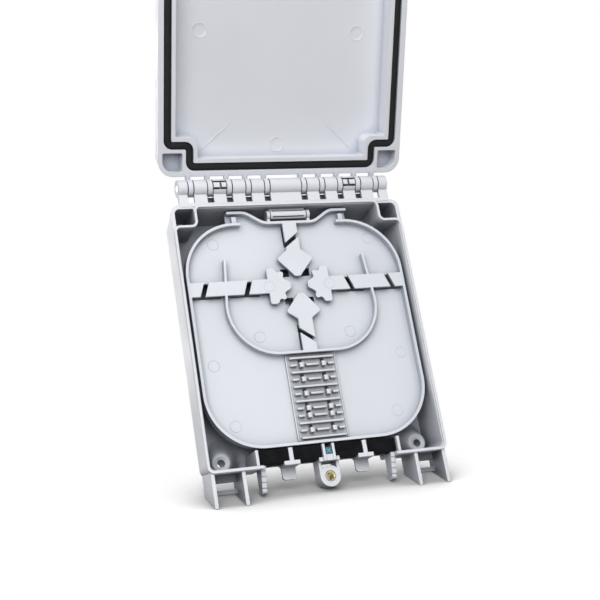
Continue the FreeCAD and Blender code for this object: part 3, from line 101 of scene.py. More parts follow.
# Places in X and Z of the ejector marks on the cassette's floor, on its arms and in the shut lid, and both
# ends of the lid's right mould line.
FLOOR_MARKS = (
    (-0.0463, 0.0551), (0.0488, 0.0553), (-0.0487, -0.0510), (0.0470, -0.0503),
    (-0.0560, -0.0163), (0.0560, -0.0163), (-0.0271, -0.0014), (0.0273, -0.0016),
)
ARM_MARKS = ((-0.0183, 0.0270), (0.0183, 0.0270))
LID_MARKS = ((0.0, 0.0650), (-0.0480, 0.0), (0.0480, 0.0), (0.0, -0.0520))
LID_LINE = ((0.0290, 0.0520), (0.0465, 0.0678))

# Lamps: power setting, size, and place ahead of, to the right of and above the point they face.
SOFTBOXES = {
    "front_softbox": ("key_power", 1.2, (0.82, -0.34, 0.68)),
    "top_softbox": ("top_power", 0.8, (0.10, -0.20, 1.15)),
    "left_softbox": ("side_power", 0.6, (0.05, -1.10, 0.15)),
    "right_softbox": ("side_power", 0.6, (-0.25, 1.10, 0.15)),
    "back_softbox": ("back_power", 1.0, (-1.20, 0.0, 0.12)),
}
# The camera's place and turn, found from the box's corners in the photograph.
CAMERA_SPOT = np.array([-0.2249, -0.6223, -0.1809])
CAMERA_RIGHT = np.array([0.9411, -0.2971, -0.1612])
CAMERA_AHEAD = np.array([0.3333, 0.8951, 0.2960])


def length(name, description, default):
    """A size in metres that a user may change."""
    return FloatProperty(name=name, description=description, default=default, unit="LENGTH", precision=5)


def colour(name, description, default):
    """A colour as it looks on a screen."""
    return FloatVectorProperty(
        name=name, description=description, default=default, subtype="COLOR_GAMMA", min=0.0, max=1.0
    )


def setting(name, description, default, unit="NONE"):
    """A plain number that a user may change."""
    return FloatProperty(name=name, description=description, default=default, unit=unit)


class BoxColours(PropertyGroup):
    """Colours of the box's pieces."""

    housing_grey: colour("Housing", "Moulded base and lid", (0.850, 0.858, 0.880))
    cassette_white: colour("Cassette", "Splice cassette", (0.846, 0.858, 0.884))
    comb_grey: colour("Comb", "Splice comb", (0.840, 0.850, 0.872))
    seal_black: colour("Foam", "Gasket and entry seals", (0.045, 0.047, 0.053))
    insert_brass: colour("Brass", "Threaded insert in the screw ear", (0.840, 0.805, 0.650))
    pin_steel: colour("Steel", "Pins, clip, closing screw and washer", (0.740, 0.750, 0.760))
    adapter_green: colour("Adapter", "Fibre adapter", (0.400, 0.800, 0.600))
    latch_white: colour("Latches", "Latches inside the adapter", (0.900, 0.900, 0.880))
    sleeve_white: colour("Sleeve", "Alignment sleeve inside the adapter", (0.940, 0.935, 0.915))
    plug_teal: colour("Plug", "Small plug above the screw ear", (0.190, 0.350, 0.390))


class SealSizes(PropertyGroup):
    """Sizes of the foam gasket, with the lid shut, and of the entry seals."""

    half_width: length("Half width", "Gasket line from the middle to a side", 0.0690)
    half_height: length("Half height", "Gasket line from the middle to top and foot", 0.0760)
    step_x: length("Step across", "Gasket line's upper corner step, from the middle", 0.0560)
    step_z: length("Step up", "Gasket line's upper corner step, above the middle", 0.0638)
    bend: length("Bend", "Bend of the gasket line", 0.0030)
    width: length("Width", "Width of the gasket", 0.0042)
    foot_y: length("Groove floor", "Back of the gasket", -0.02915)
    face_y: length("Face", "Face of the gasket", -0.0263)
    cell: length("Foam cell", "Remesh size of the entry seals", 0.00042)
    sag: length("Foam unevenness", "How far the cut foam waves in and out", 0.00007)


class ScrewSizes(PropertyGroup):
    """Sizes of the closing screw, with the lid shut, and of the threaded insert."""

    axis_z: length("Axis", "Screw axis below the middle", -0.0836)
    head_radius: length("Head radius", "Closing screw head", 0.0052)
    face_y: length("Head face", "Face of the head", -0.0404)
    seat_y: length("Head seat", "Back of the head", -0.0372)
    neck_y: length("Thread start", "First thread", -0.0252)
    tip_y: length("Tip", "Tip of the screw", -0.0179)
    shank_radius: length("Shank radius", "Closing screw shank", 0.0020)
    slot_width: length("Slot width", "Slot in the head", 0.0012)
    slot_depth: length("Slot depth", "Slot in the head", 0.0014)
    pitch: length("Pitch", "Pitch of the thread", 0.0007)
    depth: length("Thread depth", "Depth of the thread", 0.00032)
    insert_radius: length("Insert radius", "Brass insert outside", 0.0030)
    insert_bore: length("Insert bore", "Brass insert bore", 0.0021)
    insert_front: length("Insert front", "Front of the brass insert", -0.0195)
    insert_back: length("Insert back", "Back of the brass insert", -0.0115)


class CombSizes(PropertyGroup):
    """Sizes of the splice comb."""

    pitch: length("Pitch", "From one row to the next", 0.00414)
    first_z: length("First row", "Middle of the first rib below the box's middle", -0.0161)
    plate_y: length("Plate", "Front of the plate", -0.0186)
    rib_y: length("Ribs", "Front of the ribs", -0.0212)
    post_y: length("Posts", "Front of the posts", -0.0218)
    rail_y: length("Rails", "Front of the side rails", -0.0191)
    pit_y: length("Pits", "Floor of the pit above each post", -0.01786)
    rail: length("Rail width", "Width of a side rail", 0.0010)
    rib: length("Rib", "Thickness of a rib", 0.0012)
    rib_half: length("Rib half", "Half length of a rib", 0.0130)
    post_x: length("Post place", "Middle of a post from the middle", 0.0066)
    post_width: length("Post width", "Width of a post", 0.0023)
    post_length: length("Post length", "Length of a post along the comb", 0.00276)
    post_gap: length("Post gap", "Half gap of a broken rib round its post", 0.00276)
    pit: length("Pit length", "Length of a pit along the comb", 0.0020)
    pit_between: length("Short pit", "Length of a pit below another row of posts", 0.00126)
    rounding: length("Rounding", "Rounding of the front edges", 0.00028)


class SeatSizes(PropertyGroup):
    """Sizes of the flared seats round the lower wall screws."""

    x: length("Across", "Screw's place from the middle", 0.0582)
    z: length("Up", "Screw's place above the middle", -0.0692)
    bore: length("Bore", "Radius inside the seat", 0.0023)
    lip: length("Lip", "Radius of the seat's highest ring", 0.0044)
    foot: length("Foot", "Radius of the seat's foot", 0.0110)
    back_y: length("Back", "Underside, inside the base's floor", -0.0016)
    bowl_y: length("Bowl", "Front of the boss the seat lies on", -0.01155)
    lip_y: length("Lip front", "Front of the highest ring", -0.0121)
    floor_y: length("Floor", "Front of the base's floor", -0.0022)
    lean_x: length("Lean across", "How far the foot leans to the middle", 0.0035)
    lean_z: length("Lean up", "How far the foot leans upwards", 0.0045)
    wall_x: length("Side limit", "Inside the side wall", 0.0670)
    wall_z: length("Lower limit", "Inside the lower wall", -0.0743)


class MarkSizes(PropertyGroup):
    """Sizes of the marks that moulding leaves, with the lid shut."""

    tray_floor_y: length("Cassette floor", "Front of the cassette's floor", -0.0178)
    arm_y: length("Arms", "Front of the cassette's arms", -0.0220)
    lid_panel_y: length("Lid panel", "Inside of the lid's panel", -0.0373)
    radius: length("Mark radius", "Round mark of an ejector pin in the cassette", 0.0034)
    lid_radius: length("Lid mark radius", "Round mark of an ejector pin in the lid", 0.0046)
    height: length("Mark height", "How far a mark stands proud", 0.00016)
    line_width: length("Line width", "Mould line inside the lid", 0.0007)
    line_height: length("Line height", "How far a mould line stands proud", 0.00032)
    cross_width: length("Cross width", "Bar of the cross on the plug", 0.00045)
    cross_height: length("Cross height", "How far the cross stands proud", 0.00012)


class StageSettings(PropertyGroup):
    """Camera and light."""

    lens: setting("Lens", "Focal length", 70.63, "CAMERA")
    key_power: setting("Key light", "Wide softbox in front", 17.4, "POWER")
    top_power: setting("Top light", "Softbox overhead", 2.0, "POWER")
    side_power: setting("Side light", "Softbox at each side", 1.4, "POWER")
    back_power: setting("Back light", "Softbox behind", 9.0, "POWER")
    room_light: setting("Room light", "Even light from all round", 0.06)
    floor_glow: setting("Floor whiteness", "White added to the floor", 0.71)


def linear(tint, gain=1.0):
    """Screen colour to light: the two-part curve of a screen, undone, then scaled."""
    tint = np.array(tint)
    light = np.where(tint <= 0.04045, tint / 12.92, ((tint + 0.055) / 1.055) ** 2.4)
    return (*np.clip(light * gain, 0.0, 1.0), 1.0)


def opened(points):
    """Turns points of the shut lid about the hinge axis along X, to where they are with the lid open."""
    return (points - LID_AXIS) @ LID_TURN + LID_AXIS


def spun(radius, depth, angle, x=0.0, z=0.0):
    """Points of a profile turned about an axis along Y: each radius at its depth and angle."""
    across, up = radius * np.cos(angle), radius * np.sin(angle)
    return np.stack([x + across, np.broadcast_to(depth, across.shape), z + up], axis=2)


def ring(count):
    """Angles spread evenly round a circle."""
    return np.linspace(0.0, 2 * math.pi, count, endpoint=False)


def thread(depth, angle, pitch, height):
    """A groove whose depth is a triangle wave that climbs one pitch in each turn."""
    phase = (depth / pitch + angle / (2 * math.pi)) % 1.0
    return height * (1 - np.abs(2 * phase - 1))


def squared(wave, power):
    """A sine or cosine pressed towards its ends: its sign times a power of its size."""
    return np.sign(wave) * np.abs(wave) ** power


def grid_faces(rows, columns, round_rows=False, round_columns=False):
    """Four corners of each cell of a grid of points, joined end to end where a direction goes round."""
    row = np.arange(rows if round_rows else rows - 1)
    column = np.arange(columns if round_columns else columns - 1)
    row, column = (index.ravel() for index in np.meshgrid(row, column, indexing="ij"))
    next_row, next_column = (row + 1) % rows, (column + 1) % columns
    corners = ((row, column), (row, next_column), (next_row, next_column), (next_row, column))
    return np.stack([a * columns + b for a, b in corners], axis=1)


def new_piece(name, patches, body, slot, material=None, sharp=35.0):
    """One piece from grids of points, each with its rounds, in its slot's finish or in a material given."""
    points, faces, start = [], [], 0
    for grid, round_rows, round_columns in patches:
        rows, columns = grid.shape[:2]
        points.append(grid.reshape(-1, 3))
        faces.append(grid_faces(rows, columns, round_rows, round_columns) + start)
        start += rows * columns
    mesh = bpy.data.meshes.new(name)
    mesh.from_pydata(np.concatenate(points).tolist(), [], np.concatenate(faces).tolist())
    return finish_piece(name, mesh, body, material or finishes()[slot], sharp)


def finish_piece(name, mesh, body, material, sharp):
    """Closes a mesh, turns its faces outwards, shades it and lets it ride on its body."""
    shape = bmesh.new()
    shape.from_mesh(mesh)
    bmesh.ops.remove_doubles(shape, verts=shape.verts, dist=SEAM)
    bmesh.ops.dissolve_degenerate(shape, dist=SLIVER, edges=shape.edges)
    bmesh.ops.recalc_face_normals(shape, faces=shape.faces)
    shape.to_mesh(mesh)
    shape.free()
    if not mesh.polygons:
        raise RuntimeError("the piece " + name + " came out empty")
    mesh.polygons.foreach_set("use_smooth", np.ones(len(mesh.polygons), dtype=bool))
    mesh.set_sharp_from_angle(angle=math.radians(sharp))
    mesh.materials.append(material)
    piece = bpy.data.objects.new(name, mesh)
    bpy.context.scene.collection.objects.link(piece)
    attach(piece, body)
    return piece


def square_loop(corners, bend, count, arc_points=9):
    """A closed line of square turns in X and Z: each corner becomes a quarter circle, then the points are
    spread evenly by their distance along the line."""
    corner = np.asarray(corners, dtype=float)
    into = corner - np.roll(corner, 1, axis=0)
    into /= np.linalg.norm(into, axis=1, keepdims=True)
    out = np.roll(into, -1, axis=0)
    turn = np.linspace(0.0, math.pi / 2, arc_points)[None, :, None]
    arc = corner[:, None] + bend * (out[:, None] * (1 - np.cos(turn)) - into[:, None] * (1 - np.sin(turn)))
    line = arc.reshape(-1, 2)
    line = np.concatenate([line, line[:1]])
    run = np.concatenate([[0.0], np.cumsum(np.linalg.norm(np.diff(line, axis=0), axis=1))])
    spread = np.linspace(0.0, run[-1], count, endpoint=False)
    return np.stack([np.interp(spread, run, line[:, 0]), np.interp(spread, run, line[:, 1])], axis=1)


class Nodes:
    """Nodes of a material or a world, added and joined by name."""

    def __init__(self, tree):
        self.tree = tree
        self.tree.nodes.clear()

    def add(self, kind, sockets=None, **options):
        """A node with its options and the values of its sockets."""
        node = self.tree.nodes.new(kind)
        for option, value in options.items():
            setattr(node, option, value)
        for socket, value in (sockets or {}).items():
            node.inputs[socket].default_value = value
        return node

    def join(self, source, output, target, socket):
        """Leads one node's output into another node's socket."""
        self.tree.links.new(source.outputs[output], target.inputs[socket])

    def pair(self, kind, first, second, **options):
        """A node with its first two sockets joined, each to a node and its output."""
        node = self.add(kind, **options)
        self.join(*first, node, 0)
        self.join(*second, node, 1)
        return node

    def between(self, source, output, low, high, start=0.3, end=0.7, **options):
        """A number led from one range to another."""
        ranges = {"From Min": start, "From Max": end, "To Min": low, "To Max": high}
        spread = self.add("ShaderNodeMapRange", ranges, **options)
        self.join(source, output, spread, "Value")
        return spread

    def looked_at(self):
        """1 for what the camera sees, straight or in a reflection, and 0 for all other light."""
        path = self.add("ShaderNodeLightPath")
        rays = (path, "Is Camera Ray"), (path, "Is Glossy Ray")
        return self.pair("ShaderNodeMath", *rays, operation="MAXIMUM")


class Finish(Nodes):
    """A material made of nodes round a principled skin."""

    # Sockets of a Mix node that belong to colours.
    FIRST, SECOND, MIXED = 6, 7, 2

    def __init__(self, name):
        self.material = bpy.data.materials.new(name)
        self.material.use_nodes = True
        super().__init__(self.material.node_tree)
        self.out = self.add("ShaderNodeOutputMaterial")
        self.skin = self.add("ShaderNodeBsdfPrincipled")
        self.join(self.skin, "BSDF", self.out, "Surface")
        self.place = self.add("ShaderNodeTexCoord")

    def stretched(self, scale, offset=(0.0, 0.0, 0.0)):
        """Object coordinates, moved and stretched."""
        mapping = self.add("ShaderNodeMapping", {"Location": offset, "Scale": scale})
        self.join(self.place, "Object", mapping, "Vector")
        return mapping, "Vector"

    def noise(self, scale, detail, source=None):
        """Cloudy pattern on Object coordinates."""
        cloud = self.add("ShaderNodeTexNoise", {"Scale": scale, "Detail": detail})
        self.join(*(source or (self.place, "Object")), cloud, "Vector")
        return cloud

    def blend(self, factor, output, first, second):
        """Mixes two colours, each a plain colour or the mix node it comes from."""
        mix = self.add("ShaderNodeMix", data_type="RGBA")
        self.join(factor, output, mix, 0)
        for socket, tint in ((self.FIRST, first), (self.SECOND, second)):
            if isinstance(tint, tuple):
                mix.inputs[socket].default_value = tint
            else:
                self.join(tint, self.MIXED, mix, socket)
        return mix

    def colour_from(self, mix):
        """Gives the skin a mix node's colour."""
        self.join(mix, self.MIXED, self.skin, "Base Color")

    def gloss_from(self, source, output, smoothest, roughest, sheen=0.5):
        """Roughness that follows a pattern, and the strength of reflections."""
        rough = self.between(source, output, smoothest, roughest)
        self.join(rough, "Result", self.skin, "Roughness")
        self.skin.inputs["Specular IOR Level"].default_value = sheen

    def rounded(self, radius):
        """Normals rounded over the edges, and how much an edge was rounded, from 0 to 1."""
        edge = self.add("ShaderNodeBevel", {"Radius": radius}, samples=6)
        face = self.add("ShaderNodeNewGeometry")
        normals = (edge, "Normal"), (face, "True Normal")
        flat = self.pair("ShaderNodeVectorMath", *normals, operation="DOT_PRODUCT")
        return edge, self.between(flat, "Value", low=1.0, high=0.0, start=0.80, end=0.985)

    def bump(self, source, output, depth, strength, under=None):
        """Raises the surface by a pattern, over rounded normals where given."""
        bump = self.add("ShaderNodeBump", {"Strength": strength, "Distance": depth})
        self.join(source, output, bump, "Height")
        if under is not None:
            self.join(under, "Normal", bump, "Normal")
        self.join(bump, "Normal", self.skin, "Normal")


def moulded_finish(name, tint, roughness, grain, grain_depth, rounding, reach, shade_gain, clear, sheen, pits=None):
    """Moulded plastic: a faint cloud of flow, a fine spark-eroded grain with specks of dust, painted shade in
    the recesses within a reach of a wall, and rounded edges with a painted highlight. Painted shade darkens
    pits from one depth along Y to another."""
    finish = Finish(name)
    cloud = finish.noise(scale=28.0, detail=4.0)
    speck = finish.noise(scale=900.0, detail=2.0)
    fine = finish.noise(scale=grain, detail=3.0)
    edge, roundness = finish.rounded(rounding)
    flow = finish.blend(cloud, "Fac", linear(tint, gain=0.955), linear(tint, gain=1.035))
    dust = finish.between(speck, "Fac", low=0.0, high=0.05, start=0.62, end=0.78)
    dusted = finish.blend(dust, "Result", flow, linear(tint, gain=0.62))
    # Painted shade: near walls and in recesses the colour is darkened towards a cooler tint, where ambient
    # occlusion finds them.
    occlusion = finish.add("ShaderNodeAmbientOcclusion", {"Distance": reach}, samples=8)
    unshaded = finish.between(occlusion, "AO", low=0.0, high=1.0, start=0.10, end=clear)
    shade_tint = np.array(tint) * (0.93, 0.98, 1.05)
    dust_and_shade = finish.blend(unshaded, "Result", linear(shade_tint, gain=shade_gain), dusted)
    if pits:
        # Painted shade: pits are painted nearly black behind the comb's plate.
        split = finish.add("ShaderNodeSeparateXYZ")
        finish.join(finish.place, "Object", split, "Vector")
        pit_shade = finish.between(split, "Y", low=0.0, high=0.92, start=pits[0], end=pits[1])
        dust_and_shade = finish.blend(pit_shade, "Result", dust_and_shade, linear(tint, gain=0.02))
    # Painted highlight: rounded edges are painted paler.
    edge_highlight = finish.between(roundness, "Result", low=0.0, high=0.35, start=0.0, end=1.0)
    finish.colour_from(finish.blend(edge_highlight, "Result", dust_and_shade, linear(tint, gain=1.22)))
    finish.gloss_from(cloud, "Fac", roughness - 0.06, roughness + 0.07, sheen)
    finish.bump(fine, "Fac", depth=grain_depth, strength=0.5, under=edge)
    return finish.material


def foam_finish(name, tint, smoothest, roughest, sheen):
    """Closed-cell foam: round cells with paler walls, more or less dull, with a slow wave in its shade."""
    finish = Finish(name)
    cells = finish.add("ShaderNodeTexVoronoi", {"Scale": 1500.0})
    finish.join(finish.place, "Object", cells, "Vector")
    cloud = finish.noise(scale=140.0, detail=3.0)
    walls = finish.between(cells, "Distance", low=0.0, high=1.0, start=0.15, end=0.75)
    cell = finish.blend(walls, "Result", linear(tint, gain=0.55), linear(tint, gain=1.45))
    shade = finish.between(cloud, "Fac", low=0.0, high=0.4)
    finish.colour_from(finish.blend(shade, "Result", cell, linear(tint, gain=0.7)))
    finish.gloss_from(cloud, "Fac", smoothest, roughest, sheen)
    finish.bump(cells, "Distance", depth=0.00016, strength=0.8)
    return finish.material


def turned_finish(name, tint, centre):
    """Turned metal: fine rings round the axis, with a slow tarnish over them."""
    finish = Finish(name)
    mapping = finish.stretched((1.0, 1.0, 1.0), tuple(-value for value in centre))
    rings = finish.add("ShaderNodeTexWave", {"Scale": 900.0, "Distortion": 0.6}, wave_type="RINGS")
    rings.rings_direction = "Y"
    finish.join(*mapping, rings, "Vector")
    cloud = finish.noise(scale=420.0, detail=4.0)
    finish.colour_from(finish.blend(cloud, "Fac", linear(tint, gain=0.78), linear(tint, gain=1.12)))
    finish.gloss_from(cloud, "Fac", smoothest=0.20, roughest=0.38)
    finish.skin.inputs["Metallic"].default_value = 1.0
    finish.bump(rings, "Fac", depth=0.00002, strength=0.4)
    return finish.material


def drawn_finish(name, tint):
    """Drawn steel: fine lines along the wire, with a slow change of gloss."""
    finish = Finish(name)
    lines = finish.noise(scale=60.0, detail=4.0, source=finish.stretched((0.6, 40.0, 40.0)))
    cloud = finish.noise(scale=260.0, detail=3.0)
    finish.colour_from(finish.blend(lines, "Fac", linear(tint, gain=0.80), linear(tint, gain=1.10)))
    finish.gloss_from(cloud, "Fac", smoothest=0.22, roughest=0.40)
    finish.skin.inputs["Metallic"].default_value = 1.0
    finish.bump(lines, "Fac", depth=0.00001, strength=0.5)
    return finish.material


def finishes():
    """Every finish by its material slot, made once, and one more each for the deep base, with stronger
    painted shade, and the gasket.
    """
    scene = bpy.context.scene
    colours, screw, comb = scene.box_colours, scene.box_screw, scene.box_comb
    tints = {slot: getattr(colours, slot) for slot in BoxColours.__annotations__}
    tints["housing_deep"] = colours.housing_grey
    tints["gasket"] = np.array(colours.seal_black) * GASKET_SHADE
    found = {}
    for slot, tint in tints.items():
        name = slot + "_finish"
        if name in bpy.data.materials:
            found[slot] = bpy.data.materials[name]
        elif slot in FOAM:
            found[slot] = foam_finish(name, tint, *FOAM[slot])
        elif slot == "insert_brass":
            found[slot] = turned_finish(name, tint, (0.0, screw.insert_front, screw.axis_z))
        elif slot == "pin_steel":
            found[slot] = drawn_finish(name, tint)
        else:
            pits = (comb.plate_y + PIT_EDGE, comb.pit_y) if slot == "comb_grey" else None
            found[slot] = moulded_finish(name, tint, *MOULDED[slot], pits)
    return found


def coat(*slots):
    """Gives each CAD node of these slots its finish. The base is deep, and gets a copy whose painted shade
    reaches further in.
    """
    finish = finishes()
    for node, slot in NODE_SLOTS.items():
        if slot in slots:
            for place in frame["nodes"][node].material_slots:
                place.material = finish["housing_deep" if node == "base_shell" else slot]


class BOX_OT_housing(Operator):
    """Finishes the moulded base and lid, and the pins between them"""

    bl_idname = "transition_box.housing"
    bl_label = "Housing"

    def execute(self, context):
        coat("housing_grey", "pin_steel")
        return {"FINISHED"}


class BOX_OT_cassette(Operator):
    """Finishes the splice cassette and the small plug below it"""

    bl_idname = "transition_box.cassette"
    bl_label = "Cassette"

    def execute(self, context):
        coat("cassette_white", "plug_teal")
        return {"FINISHED"}


class BOX_OT_comb(Operator):
    """Splice comb with rounded ribs, posts and a pit above each post"""

    bl_idname = "transition_box.comb"
    bl_label = "Splice comb"

    ROWS, POST_ROWS = 12, (1, 3, 5, 7, 8, 10)
    PIT_WALL = 0.00004
    # Grid lines beside an edge: how far from it, then where on the rounding, as shares of it.
    EDGE_GAP, ROUND_SHARES = 0.00001, (0.06, 0.3, 1.0)

    def execute(self, context):
        """A height over X and Z: the front of the highest block at each point, where a block falls by a
        quarter circle near its sides, and the pits' floor inside the pits. The sides drop from the grid's
        border to the back, which closes in on its middle."""
        comb = context.scene.box_comb
        low, high = (np.array(corner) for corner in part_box("splice_holder"))
        blocks, pits = self.layout_of(comb, low, high)
        edges = np.concatenate([np.array(blocks)[:, :4], np.array(pits)])
        across = self.lines(edges[:, :2], comb.rounding, low[0], high[0])
        along = self.lines(edges[:, 2:], comb.rounding, low[2], high[2])
        x, z = np.meshgrid(across, along, indexing="ij")
        depth = np.full(x.shape, comb.plate_y)
        for left, right, foot, top, front in blocks:
            inset = np.minimum(np.minimum(x - left, right - x), np.minimum(z - foot, top - z))
            share = 1 - np.clip(inset / comb.rounding, 0.0, 1.0)
            face = front + comb.rounding * (1 - np.sqrt(1 - share**2))
            depth = np.where(inset >= 0, np.minimum(depth, face), depth)
        for left, right, foot, top in pits:
            depth[(x > left) & (x < right) & (z > foot) & (z < top)] = comb.pit_y
        front = np.stack([x, depth, z], axis=2)
        border = np.concatenate([front[:-1, 0], front[-1, :-1], front[:0:-1, -1], front[0, :0:-1]])
        skirt = np.stack([border, border, border])
        skirt[1:, :, 1] = high[1]
        middle = (low + high) / 2
        skirt[2] = (middle[0], high[1], middle[2])
        patches = [(front, False, False), (skirt, False, True)]
        piece = new_piece("splice_comb", patches, "base", "comb_grey", sharp=50.0)
        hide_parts("splice_holder")
        return {"FINISHED"}

    def layout_of(self, comb, low, high):
        """Left, right, foot, top and front of each block, and the same without a front for each pit."""
        blocks = [
            (low[0], low[0] + comb.rail, low[2], high[2], comb.rail_y),
            (high[0] - comb.rail, high[0], low[2], high[2], comb.rail_y),
        ]
        pits = []
        inner, outer = comb.post_x - comb.post_gap, comb.post_x + comb.post_gap
        for row in range(self.ROWS):
            middle = comb.first_z - row * comb.pitch
            foot, top = middle - comb.rib / 2, middle + comb.rib / 2
            if row not in self.POST_ROWS:
                blocks.append((-comb.rib_half, comb.rib_half, foot, top, comb.rib_y))
                continue
            blocks.append((-inner, inner, foot, top, comb.rib_y))
            head = middle + comb.post_length / 2
            start = head + self.PIT_WALL
            pit = comb.pit_between if row - 1 in self.POST_ROWS else comb.pit
            for side in (-1, 1):
                ends = sorted((side * outer, side * comb.rib_half))
                blocks.append((*ends, foot, top, comb.rib_y))
                left = side * comb.post_x - comb.post_width / 2
                right = left + comb.post_width
                blocks.append((left, right, middle - comb.post_length / 2, head, comb.post_y))
                pits.append((left, right, start, start + pit))
        return blocks, pits

    def lines(self, edges, rounding, least, most):
        """Grid lines close to both sides of every edge, and over the rounding inside it."""
        first, last = edges[:, 0, None], edges[:, 1, None]
        steps = np.array([-self.EDGE_GAP, self.EDGE_GAP, *(share * rounding for share in self.ROUND_SHARES)])
        places = np.concatenate([[least, most], (first + steps).ravel(), (last - steps).ravel()])
        return np.unique(np.clip(places, least, most).round(7))


class BOX_OT_screw_seats(Operator):
    """Soft flared seats round the two lower wall screws"""

    bl_idname = "transition_box.screw_seats"
    bl_label = "Screw seats"

    AROUND, BOWL_POINTS, FLARE_POINTS = 72, 6, 17

    def execute(self, context):
        """A profile turned about Y: a shallow bowl up to a lip, then an S-shaped flare down to the floor. The
        flare's foot leans to the box's middle, and what would pass the walls is pressed flat inside them."""
        seat = context.scene.box_seats
        rise = np.linspace(0.0, 1.0, self.BOWL_POINTS)
        fall = np.linspace(0.0, 1.0, self.FLARE_POINTS)[1:]
        bowl = seat.bore + (seat.lip - seat.bore) * rise
        flare = seat.lip + (seat.foot - seat.lip) * fall
        radius = np.concatenate([[seat.bore], bowl, flare, [seat.foot]])
        bowl = seat.bowl_y + (seat.lip_y - seat.bowl_y) * np.sin(math.pi / 2 * rise) ** 2
        flare = seat.lip_y + (seat.floor_y - seat.lip_y) * fall**2 * (3 - 2 * fall)
        front = np.concatenate([[seat.back_y], bowl, flare, [seat.back_y]])
        lean = np.clip((radius - seat.lip) / (seat.foot - seat.lip), 0.0, 1.0) ** 2
        grid = spun(radius, front, ring(self.AROUND)[:, None], seat.x, seat.z)
        grid[..., 0] = np.minimum(grid[..., 0] - seat.lean_x * lean, seat.wall_x)
        grid[..., 2] = np.maximum(grid[..., 2] + seat.lean_z * lean, seat.wall_z)
        # The base's copy of the housing, with stronger painted shade.
        material = finishes()["housing_deep"]
        for name, side in (("screw_seat_left", -1.0), ("screw_seat_right", 1.0)):
            patches = [(grid * (side, 1.0, 1.0), True, True)]
            new_piece(name, patches, "base", "housing_grey", material, sharp=60.0)
        return {"FINISHED"}


class BOX_OT_adapter(Operator):
    """Finishes the fibre adapter with its latches and sleeve"""

    bl_idname = "transition_box.adapter"
    bl_label = "Adapter"

    def execute(self, context):
        coat("adapter_green", "latch_white", "sleeve_white")
        return {"FINISHED"}


class BOX_OT_gasket(Operator):
    """Foam gasket in the lid's groove"""

    bl_idname = "transition_box.gasket"
    bl_label = "Gasket"

    POINTS, AROUND = 1200, 28
    SIDE_POWER, FACE_POWER = 0.52, 0.62
    # Share, count round the line and start of each wave in the foam's face.
    WAVES = ((0.55, 37, 0.0), (0.45, 83, 1.3))

    def execute(self, context):
        """The gasket's line with its corner steps, carrying a squared oval that waves a little along it."""
        seal = context.scene.box_seals
        width, high, step_x, step_z = seal.half_width, seal.half_height, seal.step_x, seal.step_z
        corners = [
            (width, -high), (width, step_z), (step_x, step_z), (step_x, high),
            (-step_x, high), (-step_x, step_z), (-width, step_z), (-width, -high),
        ]
        line = square_loop(corners, seal.bend, self.POINTS)
        along = np.roll(line, -1, axis=0) - np.roll(line, 1, axis=0)
        along /= np.linalg.norm(along, axis=1, keepdims=True)
        side = np.stack([along[:, 1], -along[:, 0]], axis=1)
        turn, walk = ring(self.AROUND), ring(self.POINTS)
        across = squared(np.cos(turn), self.SIDE_POWER) * seal.width / 2
        rise = (squared(np.sin(turn), self.FACE_POWER) + 1) / 2
        wave = sum(share * np.sin(count * walk + start) for share, count, start in self.WAVES)
        top = seal.face_y - seal.sag * (1 + wave)
        grid = np.empty((len(walk), len(turn), 3))
        grid[..., 0] = line[:, :1] + side[:, :1] * across
        grid[..., 1] = seal.foot_y + (top[:, None] - seal.foot_y) * rise
        grid[..., 2] = line[:, 1:] + side[:, 1:] * across
        patch = (opened(grid), True, True)
        piece = new_piece("gasket_foam", [patch], "lid", "seal_black", finishes()["gasket"], sharp=60.0)
        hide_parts("lid_gasket")
        return {"FINISHED"}


class BOX_OT_entry_seals(Operator):
    """Foam blocks in the four cable entries"""

    bl_idname = "transition_box.entry_seals"
    bl_label = "Entry seals"

    WELD, SMOOTH_SHARE, SMOOTH_TIMES = 1e-6, 0.5, 3
    LEAST_POINTS = 100
    # Two slanted waves along X, Y and Z, multiplied.
    WAVES = ((1500.0, 700.0, 2100.0), (-900.0, 1900.0, 1100.0))

    def execute(self, context):
        """Each block is remeshed fine, smoothed so that its edges round off, and waved along its normals."""
        seal = context.scene.box_seals
        for node in ENTRY_SEALS:
            mesh = self.remeshed(node, seal.cell)
            spot, normal = np.empty((2, len(mesh.vertices) * 3))
            mesh.vertices.foreach_get("co", spot)
            mesh.vertex_normals.foreach_get("vector", normal)
            spot, normal = spot.reshape(-1, 3), normal.reshape(-1, 3)
            first, second = self.WAVES
            wave = np.sin(spot @ first) * np.sin(spot @ second)
            spot = spot + normal * (wave * seal.sag)[:, None]
            low, high = (np.array(corner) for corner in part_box(node))
            mesh.vertices.foreach_set("co", np.clip(spot, low, high).ravel())
            mesh.materials.clear()
            foam = finishes()["seal_black"]
            piece = finish_piece(node + "_foam", mesh, "base", foam, sharp=80.0)
            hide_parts(node)
        return {"FINISHED"}

    def remeshed(self, node, cell):
        """A copy of a node's mesh, welded, remeshed to small cells and smoothed."""
        block = bpy.data.objects.new(node + "_block", frame["nodes"][node].data.copy())
        bpy.context.scene.collection.objects.link(block)
        weld = block.modifiers.new("weld", "WELD")
        weld.merge_threshold = self.WELD
        mesher = block.modifiers.new("remesh", "REMESH")
        mesher.mode, mesher.voxel_size = "VOXEL", cell
        smooth = block.modifiers.new("smooth", "SMOOTH")
        smooth.factor, smooth.iterations = self.SMOOTH_SHARE, self.SMOOTH_TIMES
        bpy.context.view_layer.update()
        graph = bpy.context.evaluated_depsgraph_get()
        mesh = bpy.data.meshes.new_from_object(block.evaluated_get(graph))
        bpy.data.objects.remove(block)
        if len(mesh.vertices) < self.LEAST_POINTS:
            raise RuntimeError("the foam block " + node + " came out empty")
        return mesh


